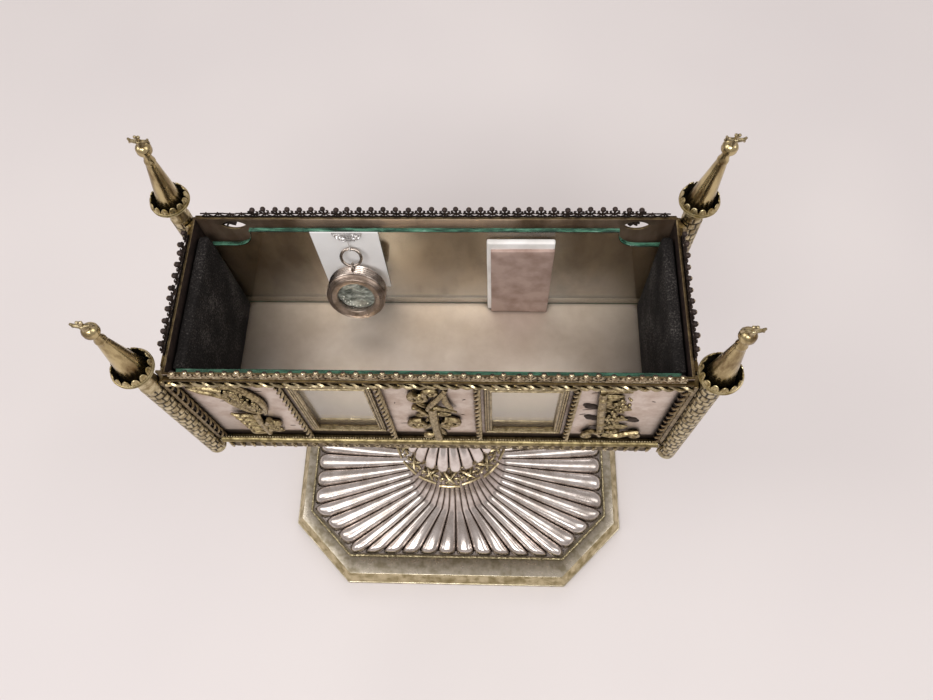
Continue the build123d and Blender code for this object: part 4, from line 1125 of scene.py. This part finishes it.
def masonry_tree():
    """Sinks the joints between courses of stones into a tube about the Z axis, below a level."""
    tree, given = new_shape_tree("lay_masonry", (
        (label, "Float") for label in ("Stones", "Course", "Depth", "Low", "Top", "Seed")))
    here = add_node(tree, "GeometryNodeInputPosition")
    split = add_node(tree, "ShaderNodeSeparateXYZ", inputs={0: here})
    angle = add_node(tree, "ShaderNodeMath", {"operation": "ARCTAN2"},
                     {0: split.outputs["Y"], 1: split.outputs["X"]})
    across = add_node(tree, "ShaderNodeMath", {"operation": "MULTIPLY"},
                      {0: angle, 1: given["Stones"]})
    stone = add_node(tree, "ShaderNodeMath", {"operation": "DIVIDE"}, {0: across, 1: 2 * pi})
    rise = add_node(tree, "ShaderNodeMath", {"operation": "DIVIDE"},
                    {0: split.outputs["Z"], 1: given["Course"]})
    wander = add_node(tree, "ShaderNodeTexNoise", {"noise_dimensions": "4D"}, {
        "Vector": here, "W": given["Seed"], "Scale": 190.0, "Detail": 1.0})
    strayed = add_node(tree, "ShaderNodeVectorMath", {"operation": "MULTIPLY_ADD"}, {
        0: wander.outputs["Color"], 1: (0.34, 0.2, 0.0), 2: add_node(
            tree, "ShaderNodeCombineXYZ", inputs={"X": stone, "Y": rise})})
    wall = add_node(tree, "ShaderNodeTexBrick", {"offset": 0.5, "offset_frequency": 2}, {
        "Vector": strayed, "Scale": 1.0, "Mortar Size": 0.12, "Mortar Smooth": 0.5,
        "Brick Width": 1.0, "Row Height": 1.0})
    above = add_node(tree, "ShaderNodeMath", {"operation": "GREATER_THAN"},
                     {0: split.outputs["Z"], 1: given["Low"]})
    below = add_node(tree, "ShaderNodeMath", {"operation": "LESS_THAN"},
                     {0: split.outputs["Z"], 1: given["Top"]})
    band = add_node(tree, "ShaderNodeMath", {"operation": "MULTIPLY"}, {0: above, 1: below})
    joint = add_node(tree, "ShaderNodeMath", {"operation": "MULTIPLY"},
                     {0: wall.outputs["Fac"], 1: band})
    sunk = add_node(tree, "ShaderNodeMath", {"operation": "MULTIPLY"}, {0: joint, 1: given["Depth"]})
    inwards = add_node(tree, "ShaderNodeMath", {"operation": "MULTIPLY"}, {0: sunk, 1: -1.0})
    shift = add_node(tree, "ShaderNodeVectorMath", {"operation": "SCALE"},
                     {0: add_node(tree, "GeometryNodeInputNormal"), "Scale": inwards})
    moved = add_node(tree, "GeometryNodeSetPosition",
                     inputs={"Geometry": given["Geometry"], "Offset": shift})
    marked = add_node(tree, "GeometryNodeStoreNamedAttribute",
                      {"data_type": "FLOAT", "domain": "POINT"}, {
        "Geometry": moved, "Name": "dirt", "Value": joint})
    return end_tree(tree, marked)


lay_masonry = masonry_tree()
turret_names = ("front_left", "front_right", "back_left", "back_right")
masonry_tops = (384.0, 397.0, 390.0, 395.0)
for seed, (corner, masonry_top) in enumerate(zip(turret_names, masonry_tops)):
    low, high = in_mm("tower_tube_" + corner)
    axis_x, axis_y = (low.x + high.x) / 2, (low.y + high.y) / 2
    tube_radius = (high.x - low.x) / 2
    boss = [(max(tube_radius * sin(0.5 * pi * k / boss_steps), near_axis),
             tube_radius * (1 - cos(0.5 * pi * k / boss_steps))) for k in range(boss_steps + 1)]
    neck = masonry_top - low.z
    shaft = [(tube_radius, neck * k / shaft_steps) for k in range(boss_rows, shaft_steps + 1)]
    top = high.z - low.z
    under = [(tube_radius - groove, tube_radius + groove), (tube_radius, boss_top)]
    collar_band = [(tube_radius - band_step, neck + 0.5), (tube_radius - band_step, top - 0.9),
                   (tube_radius, top - 0.6), (tube_radius, top)]
    tube = turned("turret_" + corner, boss + under + shaft + collar_band)
    tube.data.transform(Matrix.Translation((0, 0, low.z * MM)))
    tube = grown("turret_" + corner, tube, lay_masonry, {
        "Stones": float(stone_count), "Course": course * MM, "Depth": joint_depth * MM,
        "Low": (low.z + boss_top) * MM, "Top": (masonry_top - 0.3) * MM, "Seed": 3.7 * seed,
        "Material": chased_brass})
    tube.data.transform(Matrix.Translation((axis_x * MM, axis_y * MM, 0)))
    settle(tube, [], ["tower_tube_" + corner])

settle(eased_copy("corner_strips", "corner_saddles", 0.4, 1), [corner_gilt], ["corner_saddles"])

# Each turret carries a cup with two mouldings and a ring of small merlons that lean inwards, black
# inside, and in it a smooth cone.

cup_metal = aged_metal("parapet_gilt", "#cdbd93", "#8f7c4e", "#14110d", 0.3, 4, 3.4)
cone_metal = aged_metal("cone_brass", "#c6b488", "#735d3d", "#2a1f12", 0.2, 7, 2.5, streak=0.3)
cup_floor = 3.5
spire_base = 7.6
spire_tip = 2.0
spire_height = 43.5
cone_steps = 20
cup_profile = [
    (near_axis, 0), (6.9, 0), (7.3, 0.5), (8.6, 2.4), (9.9, 4.3), (10.2, 4.6), (11.0, 4.9), (11.3, 5.4),
    (11.0, 5.9), (10.4, 6.1), (11.1, 6.4), (11.4, 6.9), (11.1, 7.4), (10.4, 7.6), (10.6, 8.0),
    (10.1, 8.0), (9.9, 7.6), (9.8, 7.0), (8.9, 5.2), (8.1, 3.7), (spire_base, cup_floor),
    (near_axis, cup_floor)]
merlon = cast("merlon", [
    ([(-1.4, 0, 0), (-1.6, 0.3, 1.8), (0, 1.6, 3.1), (1.6, 0.3, 1.8), (1.4, 0, 0)], (0.7, 0.65)),
    ([(0, 0, 0), (0, 0.5, 1.4), (0, 1.1, 2.5)], (1.1, 1.2, 0.8))], flat=0.6)
black_inside = aged_metal("sooted_gilt", "#5a5546", "#2b2822", "#11100d", 0.45, 3, 2)
cone_line = [(near_axis, 0), (spire_base, 0), (spire_base, 0.5)]
cone_line += [(spire_base - (spire_base - spire_tip) * k / cone_steps, spire_height * k / cone_steps)
              for k in range(1, 17)]
cone_line += [(2.9, 36.4), (3.05, 36.9), (3.1, 37.6), (3.0, 38.4), (2.7, 38.9), (2.3, 41),
              (spire_tip, spire_height), (near_axis, spire_height)]
merlon_count = 14
merlon_ring = 10.35
merlon_level = 7.6
cup_inside = 10.0
back_lean = radians(5.0)
ball_size = 4.3
ball_sink = 0.85
arm_rise = 3.3
ball_steps = 14
seam_depth = 0.25
ball_line = [(max(ball_size * sin(pi * k / ball_steps), near_axis)
              - (seam_depth if 2 * k == ball_steps else 0),
              ball_size - ball_size * cos(pi * k / ball_steps)) for k in range(ball_steps + 1)]
finials = []
for corner in turret_names:
    low, high = in_mm("tower_tube_" + corner)
    foot = Vector(((low.x + high.x) / 2, (low.y + high.y) / 2, high.z))
    cup = turned("cup", cup_profile, 56, foot)
    for polygon in cup.data.polygons:
        middle_of = polygon.center / MM - foot
        inner = hypot(middle_of.x, middle_of.y) < cup_inside and middle_of.z > cup_floor - 0.1
        polygon.material_index = 1 if inner and polygon.normal.z > -0.2 else 0
    cup.data.materials.append(cup_metal)
    cup.data.materials.append(black_inside)
    around = circle_path("cup_path", foot, merlon_ring, foot.z + merlon_level, 4 * merlon_count)
    merlons = row("merlons", merlon, around, merlon_count, cup_metal, 0.06, 0.08, 5)
    settle(joined("parapet_cup_" + corner, [cup, merlons]), [], ["parapet_" + corner])
    lean = back_lean if corner.startswith("back") else 0.0
    spire_foot = Vector((foot.x, foot.y, foot.z + cup_floor + spire_base * sin(lean)))
    axis = Vector((sin(lean), 0, cos(lean)))
    settle(turned("cone_" + corner, cone_line, 40, spire_foot, axis), [cone_metal],
           ["spire_" + corner])
    level = spire_height + ball_size * ball_sink
    ball = turned("ball", ball_line, 28, (0, 0, level - ball_size))
    ball.data.materials.append(cone_metal)
    arm_level = level + ball_size + arm_rise
    arms = [([(0, -1.0, level + 3.6), (0, -1.0, arm_level)], (1.6, 1.2)),
            ([(0, -1.0, arm_level), (0, -1.2, arm_level + 1.8), (0, -1.0, arm_level + 3.1)],
             (1.3, 1.0, 0.9))]
    for side in (-1, 1):
        end = (4.2 * side, -0.9, arm_level)
        arms.append(([(0, -1.0, arm_level - 0.6), (2.2 * side, -1.2, arm_level - 0.3), end],
                     (1.4, 1.1, 0.9)))
        arms += [([end, (5.0 * side, -0.9, arm_level + rise)], (1.0, 0.6)) for rise in (-1.5, 1.6)]
    cross = cast("cross", arms, [((-0.9, -1.0, arm_level + 3.0), 0.9),
                                 ((0.9, -1.0, arm_level + 3.0), 0.9),
                                 ((0, -1.8, arm_level - 0.2), 1.3)])
    cross.data.materials.append(old_gilt)
    finial = joined("finial", [ball, cross])
    finial.data.transform(Matrix.Translation(spire_foot * MM) @ Matrix.Rotation(lean, 4, "Y"))
    finials.append(finial)
bpy.data.objects.remove(merlon)
settle(joined("balls_and_crosses", finials), [], ["finials"])

# ---------------------------------------------------------------- glass
# Two loose panes of window glass stand inside the front and back sheets. Their faces are clear and
# their cut edges sea green, chipped here and there.


def clear_glass(name, tint):
    """Window glass: sharp, nearly colourless, and it lets the lamps' light through."""
    material, tree, _ = new_material(name)
    glass = add_node(tree, "ShaderNodeBsdfPrincipled", inputs={
        "Base Color": srgb(tint), "Roughness": 0.0, "IOR": 1.5, "Transmission Weight": 1.0})
    through = add_node(tree, "ShaderNodeBsdfTransparent", inputs={"Color": srgb(tint)})
    ray = add_node(tree, "ShaderNodeLightPath")
    show(tree, add_node(tree, "ShaderNodeMixShader", inputs={
        0: ray.outputs["Is Shadow Ray"], 1: glass, 2: through}))
    return material


def cut_edge(name, dark, light):
    """The edge of a cut pane: sea green where light comes up through it, frosted where chipped."""
    material, tree, place = new_material(name)
    drawn = add_node(tree, "ShaderNodeMapping", inputs={"Vector": place, "Scale": (0.25, 1.6, 1)})
    flaws = add_node(tree, "ShaderNodeTexNoise", inputs={
        "Vector": drawn, "Scale": 260.0, "Detail": 6.0, "Roughness": 0.7})
    tone = add_node(tree, "ShaderNodeValToRGB", inputs={"Fac": flaws},
                    stops=((0.4, dark), (0.6, light), (0.75, "#bfe0d0")))
    chips = add_node(tree, "ShaderNodeBump", inputs={
        "Height": flaws, "Strength": 0.5, "Distance": 0.4 * MM})
    frost = add_node(tree, "ShaderNodeBsdfPrincipled", inputs={
        "Base Color": tone, "Roughness": 0.3, "Normal": chips})
    body = add_node(tree, "ShaderNodeBsdfPrincipled", inputs={
        "Base Color": srgb("#7fc4a4"), "Roughness": 0.08, "IOR": 1.5, "Transmission Weight": 1.0,
        "Normal": chips})
    amount = add_node(tree, "ShaderNodeMapRange", inputs={
        "Value": flaws, "From Min": 0.35, "From Max": 0.7, "To Min": 0.3, "To Max": 0.75})
    show(tree, add_node(tree, "ShaderNodeMixShader", inputs={
        0: amount, 1: body, 2: frost}))
    return material


pane_glass = clear_glass("window_glass", "#ece9de")
for side, deep, pale in (("front", "#3b6f56", "#5c9a7c"), ("back", "#2f5a48", "#6aa88b")):
    pane = face_by(eased_copy(side + "_glass", side + "_pane", 0.25, 1),
                   lambda normal: int(abs(normal.y) < 0.7))
    settle(pane, [pane_glass, cut_edge(side + "_cut_edge", deep, pale)], [side + "_pane"],
           side + "_pane", flat=True)

# ---------------------------------------------------------------- inside of the casket
# A satin silver sheet lies on a board, and thick black felt pads stand at both ends.


def felt():
    """Black wool felt: lint and lighter fibres lie all over it, and it has no shine."""
    material, tree, place = new_material("black_felt")
    fibres = add_node(tree, "ShaderNodeTexNoise", inputs={
        "Vector": place, "Scale": 900.0, "Detail": 5.0, "Roughness": 0.8})
    worn = add_node(tree, "ShaderNodeTexNoise", inputs={"Vector": place, "Scale": 45.0, "Detail": 2.0})
    mixed = add_node(tree, "ShaderNodeMath", {"operation": "MULTIPLY_ADD"}, {
        0: worn, 1: 0.35, 2: fibres})
    tone = add_node(tree, "ShaderNodeValToRGB", inputs={"Fac": mixed},
                    stops=((0.55, "#1b1918"), (0.72, "#2b2827"), (0.86, "#625d59")))
    nap = add_node(tree, "ShaderNodeBump", inputs={
        "Height": fibres, "Strength": 0.9, "Distance": 0.5 * MM})
    show(tree, add_node(tree, "ShaderNodeBsdfPrincipled", inputs={
        "Base Color": tone, "Roughness": 1.0, "Specular IOR Level": 0.1,
        "Normal": nap}))
    return material


def board_wood():
    """Softwood, grey-brown, with the grain along X."""
    material, tree, place = new_material("floor_wood")
    grain = add_node(tree, "ShaderNodeTexNoise", inputs={
        "Vector": add_node(tree, "ShaderNodeMapping", inputs={
            "Vector": place, "Scale": (0.06, 1, 1)}), "Scale": 700.0, "Detail": 4.0})
    tone = add_node(tree, "ShaderNodeValToRGB", inputs={"Fac": grain},
                    stops=((0.35, "#6d5334"), (0.65, "#a4845a")))
    show(tree, add_node(tree, "ShaderNodeBsdfPrincipled", inputs={
        "Base Color": tone, "Roughness": 0.75}))
    return material


# A set seed gives every run the same ruffles
ruffle_seed = 5
noise.seed_set(ruffle_seed)


def ruffled(obj, amount, size, axis=None):
    """Move a shape's points a little by noise of that size, in millimetres, along one axis or all."""
    for vertex in obj.data.vertices:
        shift = noise.noise_vector(vertex.co / (size * MM)) * amount * MM
        vertex.co += shift if axis is None else Vector(axis) * shift.x
    return obj


def soft_block(name, low, high, ease, cell):
    """A block with rounded edges and faces divided into cells of about that many millimetres."""
    shape = bmesh.new()
    bmesh.ops.create_cube(shape, size=1.0)
    size = Vector(high) - Vector(low)
    bmesh.ops.scale(shape, vec=size * MM, verts=shape.verts)
    bmesh.ops.translate(shape, vec=(Vector(high) + Vector(low)) / 2 * MM, verts=shape.verts)
    bmesh.ops.bevel(shape, geom=list(shape.edges), offset=ease * MM, segments=3, profile=0.5,
                    affect="EDGES")
    for _ in range(5):
        long = [e for e in shape.edges if e.calc_length() > cell * 1.5 * MM]
        if long:
            bmesh.ops.subdivide_edges(shape, edges=long, cuts=1, use_grid_fill=True)
    bmesh.ops.recalc_face_normals(shape, faces=shape.faces)
    return stand_object(set_shape(shape, bpy.data.meshes.new(name)))


felt_cloth = felt()
pad_slack = 0.4
for side in ("left", "right"):
    low, high = in_mm(side + "_pad")
    pad = soft_block(side + "_felt", low + Vector((pad_slack, pad_slack, 0.0)),
                     high - Vector((pad_slack, pad_slack, pad_slack)), 1.8, 4)
    for vertex in pad.data.vertices:
        share = [2 * (vertex.co[k] / MM - (low[k] + high[k]) / 2) / (high[k] - low[k])
                 for k in range(3)]
        crown = (1 - share[1] ** 4) * (1 - share[2] ** 4)
        vertex.co.x += (pad_slack * crown - pad_slack) * MM * (1 if share[0] > 0 else -1) * abs(share[0])
    settle(ruffled(pad, 0.25, 6), [felt_cloth], [side + "_pad"])

dress("floor_board", board_wood())
# The floor sheet: painted shade darkens it towards both ends and towards the front, where the pads and
# the front sheet shade it
satin_sheet = aged_metal("satin_silver", "#f8ebde", "#e0d0c0", "#54432f", 0.36, 60, 5, 0.08, bare=0.8,
                         ends=190.0, front=36.0)
dress("floor_sheet", satin_sheet)

# ---------------------------------------------------------------- relic capsule
# A round silver box with a ribbed side hangs by a loose ring. Under a crystal in its broad stepped
# bezel lies a bed of crumpled grey paper with a few tiny beads.

capsule_silver = aged_metal("handled_silver", "#d0c3b8", "#93847a", "#241b16", 0.2, 5, 2.2)
bezel_silver = aged_metal("brown_bezel", "#b9a698", "#8a7869", "#2f251d", 0.26, 6, 1.4, bare=0.85)
capsule_lean = radians(19.0)
capsule_axis = Vector((0, -cos(capsule_lean), sin(capsule_lean)))
capsule_up = Vector((0, sin(capsule_lean), cos(capsule_lean)))
capsule_depth = 12
capsule_radius = 18.3
valley_radius = 16.9
capsule_bore = 13.0
case_back = 1.5
case_front = 9.5
rib_pitch = 1.7
capsule_foot = Vector((-50.4, 21.4, 344.4)) - capsule_axis * capsule_depth
ribs = []
for k in range(5):
    level = 1.6 + rib_pitch * k
    ribs += [(valley_radius, level - rib_pitch / 2), (17.9, level - 0.35), (capsule_radius, level),
             (17.9, level + 0.35)]
drum = turned("drum", [(near_axis, 0), (valley_radius, 0), (17.3, 0.3)] + ribs + [
    (17.4, case_front), (capsule_bore, case_front), (capsule_bore, case_back), (near_axis, case_back)],
    72, capsule_foot, capsule_axis)


def hoop(name, centre, axis, radius, wire, segments=36, around=10):
    """A ring of round wire about an axis through its centre."""
    spin = Vector(axis).normalized().to_track_quat("Z", "Y").to_matrix()
    points = []
    for k in range(segments):
        a = 2 * pi * k / segments
        for j in range(around):
            b = 2 * pi * j / around
            reach = radius + wire * cos(b)
            spot = Vector((reach * cos(a), reach * sin(a), wire * sin(b)))
            points.append(Vector(centre) + spin @ spot)
    faces = [(k * around + j, ((k + 1) % segments) * around + j,
              ((k + 1) % segments) * around + (j + 1) % around, k * around + (j + 1) % around)
             for k in range(segments) for j in range(around)]
    return stand_object(placed_mesh(name, points, faces))


loop = hoop("loop", capsule_foot + capsule_axis * 6 + capsule_up * 20.9, (1, 0, 0), 2.6, 0.54)
for part in (drum, loop):
    part.data.materials.append(capsule_silver)
settle(joined("ribbed_drum", [drum, loop]), [], ["capsule_case"], "capsule")
bezel_line = [
    (11.5, case_front), (capsule_radius, case_front), (capsule_radius, 10.6), (17.9, 11.1), (17.6, 10.9),
    (17.3, 11.4), (16.9, 11.5), (16.6, 11.3), (16.3, 11.8), (15.9, 11.9), (15.6, 11.7), (15.2, 12.0),
    (14.6, 12.0), (12.9, 11.5), (12.1, 11.5), (11.7, 11.2), (11.5, case_front)]
settle(turned("stepped_bezel", bezel_line, 72, capsule_foot, capsule_axis), [bezel_silver],
       ["capsule_bezel"], "capsule")
crystal_line = [(near_axis, 8.0), (12.6, 8.0), (12.7, 8.2), (12.7, 9.1), (12.2, 9.45),
                (near_axis, case_front)]
settle(turned("crystal", crystal_line, 64, capsule_foot, capsule_axis),
       [clear_glass("rock_crystal", "#f4f4f1")], ["capsule_crystal"], "capsule")


def crumpled_paper():
    """Old grey tissue whose tone follows its crease relief: pale on the folds as painted highlight, dark
    green-grey in the creases as painted shade.
    """
    material, tree, place = new_material("crumpled_tissue")
    folds = add_node(tree, "ShaderNodeTexNoise", inputs={
        "Vector": add_node(tree, "ShaderNodeMapping", inputs={
            "Vector": place, "Scale": (0.5, 1, 1.4)}),
        "Scale": 300.0, "Detail": 4.0, "Roughness": 0.6, "Distortion": 1.2})
    tone = add_node(tree, "ShaderNodeValToRGB", inputs={"Fac": folds},
                    stops=((0.36, "#3c3e38"), (0.5, "#6d6f69"), (0.68, "#a9aba5")))
    creased = add_node(tree, "ShaderNodeBump", inputs={
        "Height": folds, "Strength": 0.8, "Distance": 0.6 * MM})
    show(tree, add_node(tree, "ShaderNodeBsdfPrincipled", inputs={
        "Base Color": tone, "Roughness": 0.5, "Normal": creased}))
    return material


def bead_white():
    """Tiny glass beads, milk white and shiny."""
    material, tree, _ = new_material("glass_beads")
    show(tree, add_node(tree, "ShaderNodeBsdfPrincipled", inputs={
        "Base Color": srgb("#e9e6df"), "Roughness": 0.12}))
    return material


bed_steps = 13
bed_line = [(near_axis, case_back), (12.7, case_back), (12.7, 3.6)]
bed_line += [(12.4 * (1 - k / bed_steps) + near_axis, 4.2) for k in range(bed_steps + 1)]
bed = ruffled(turned("bed", bed_line, 60, capsule_foot, capsule_axis), 0.8, 2.6, capsule_axis)
bed.data.materials.append(crumpled_paper())
capsule_side = Vector((1, 0, 0))
bead_level = 5.0
bead_size = 0.48
bead_spots = [(radians(a), r) for a, r in (
    (212, 10.2), (222, 10.5), (232, 10.1), (241, 10.6), (251, 10.3),
    (262, 10.7), (274, 10.4), (300, 10.3), (236, 8.6), (205, 9.0))]
beads = cast("beads", [], [
    (capsule_foot + capsule_axis * bead_level + (capsule_side * cos(a) + capsule_up * sin(a)) * r,
     bead_size) for a, r in bead_spots])
beads.data.materials.append(bead_white())
settle(joined("relic", [bed, beads]), [], ["relic_bed"], "capsule")

# The ring, and the white thread stiffened with wire that it hangs from
dress("capsule_ring", capsule_silver)


def plain_finish(name, tone, dull, roughness, scale, metal=0.0):
    """A dull finish with a faint unevenness, such as thread, card or paper."""
    material, tree, place = new_material(name)
    fibres = add_node(tree, "ShaderNodeTexNoise",
                      inputs={"Vector": place, "Scale": scale, "Detail": 5.0})
    colour = add_node(tree, "ShaderNodeValToRGB", inputs={"Fac": fibres},
                      stops=((0.3, dull), (0.6, tone)))
    nap = add_node(tree, "ShaderNodeBump", inputs={
        "Height": fibres, "Strength": 0.25, "Distance": 0.15 * MM})
    show(tree, add_node(tree, "ShaderNodeBsdfPrincipled", inputs={
        "Base Color": colour, "Roughness": roughness, "Metallic": metal,
        "Normal": nap}))
    return material


dress("hanging_wire", plain_finish("waxed_thread", "#d9d4cf", "#aaa49e", 0.6, 900.0))

# ---------------------------------------------------------------- card, seal and packet
# A white card stands behind the capsule. The wire is held to its top edge by a half-round seal of
# crumpled foil. Beside it leans a packet: brown paper over a folded white sheet.

dress("label_card", plain_finish("white_card", "#fdfbfa", "#f6f3f1", 0.7, 60.0))
seal_low, seal_high = in_mm("card_seal")
seal_random = Random(11)
seal_middle = Vector(((seal_low.x + seal_high.x) / 2, 0, seal_high.z))
seal_radius = (seal_high.x - seal_low.x) / 2
seal_points = []
seal_rings, seal_steps = 14, 44
across = seal_steps + 1
half_turn = [pi + pi * k / seal_steps for k in range(across)]
for ring in range(seal_rings + 1):
    reach = seal_radius * (1 - 0.93 * ring / seal_rings)
    for a in half_turn:
        lift = 0.25 if ring == 0 else seal_random.uniform(0.4, 1.7)
        seal_points.append((seal_middle.x + reach * cos(a), seal_high.y - lift,
                            seal_middle.z + reach * sin(a)))
seal_faces = [(r * across + k, r * across + k + 1, (r + 1) * across + k + 1, (r + 1) * across + k)
              for r in range(seal_rings) for k in range(seal_steps)]
back_start = len(seal_points)
seal_points += [(seal_middle.x + seal_radius * cos(a), seal_high.y,
                 seal_middle.z + seal_radius * sin(a)) for a in half_turn]
seal_faces += [(k + 1, k, back_start + k, back_start + k + 1) for k in range(seal_steps)]
top_line = [r * across for r in range(seal_rings + 1)]
top_line += [r * across + seal_steps for r in range(seal_rings, -1, -1)]
seal_faces.append(tuple(top_line + [back_start + seal_steps, back_start]))
seal_faces.append(tuple(range(back_start, back_start + across)))
seal_faces.append(tuple(range(seal_rings * across, seal_rings * across + across)))
seal = stand_object(placed_mesh("foil_seal", seal_points, seal_faces))
seal_shape = bmesh.new()
seal_shape.from_mesh(seal.data)
bmesh.ops.triangulate(seal_shape, faces=seal_shape.faces)
bmesh.ops.recalc_face_normals(seal_shape, faces=seal_shape.faces)
set_shape(seal_shape, seal.data)
settle(seal, [plain_finish("seal_foil", "#dcd8d6", "#9a9694", 0.28, 1600.0, 0.7)], ["card_seal"],
       "back_pane", flat=True)

packet_low, packet_high = in_mm("relic_packet")
white_fold = soft_block(
    "white_fold", (packet_low.x + 0.2, packet_low.y + 2.2, packet_low.z + 0.1),
    packet_high - Vector((0.2, 0.2, 0.2)), 1.1, 5)
ruffled(white_fold, 0.18, 14)
brown_front = soft_block(
    "brown_front", (packet_low.x + 2.6, packet_low.y + 0.2, packet_low.z + 0.1),
    (packet_high.x - 0.3, packet_low.y + 2.5, packet_high.z - 6.2), 0.5, 5)
ruffled(brown_front, 0.3, 18)
white_fold.data.materials.append(plain_finish("white_paper", "#f3efec", "#ddd8d3", 0.75, 70.0))
brown_front.data.materials.append(plain_finish("foxed_paper", "#b49b90", "#93796d", 0.8, 90.0))
settle(joined("folded_packet", [white_fold, brown_front]), [], ["relic_packet"], "packet")

# ---------------------------------------------------------------- end
# The box round this model's objects, the backdrop left out, is worked out.

low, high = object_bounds()
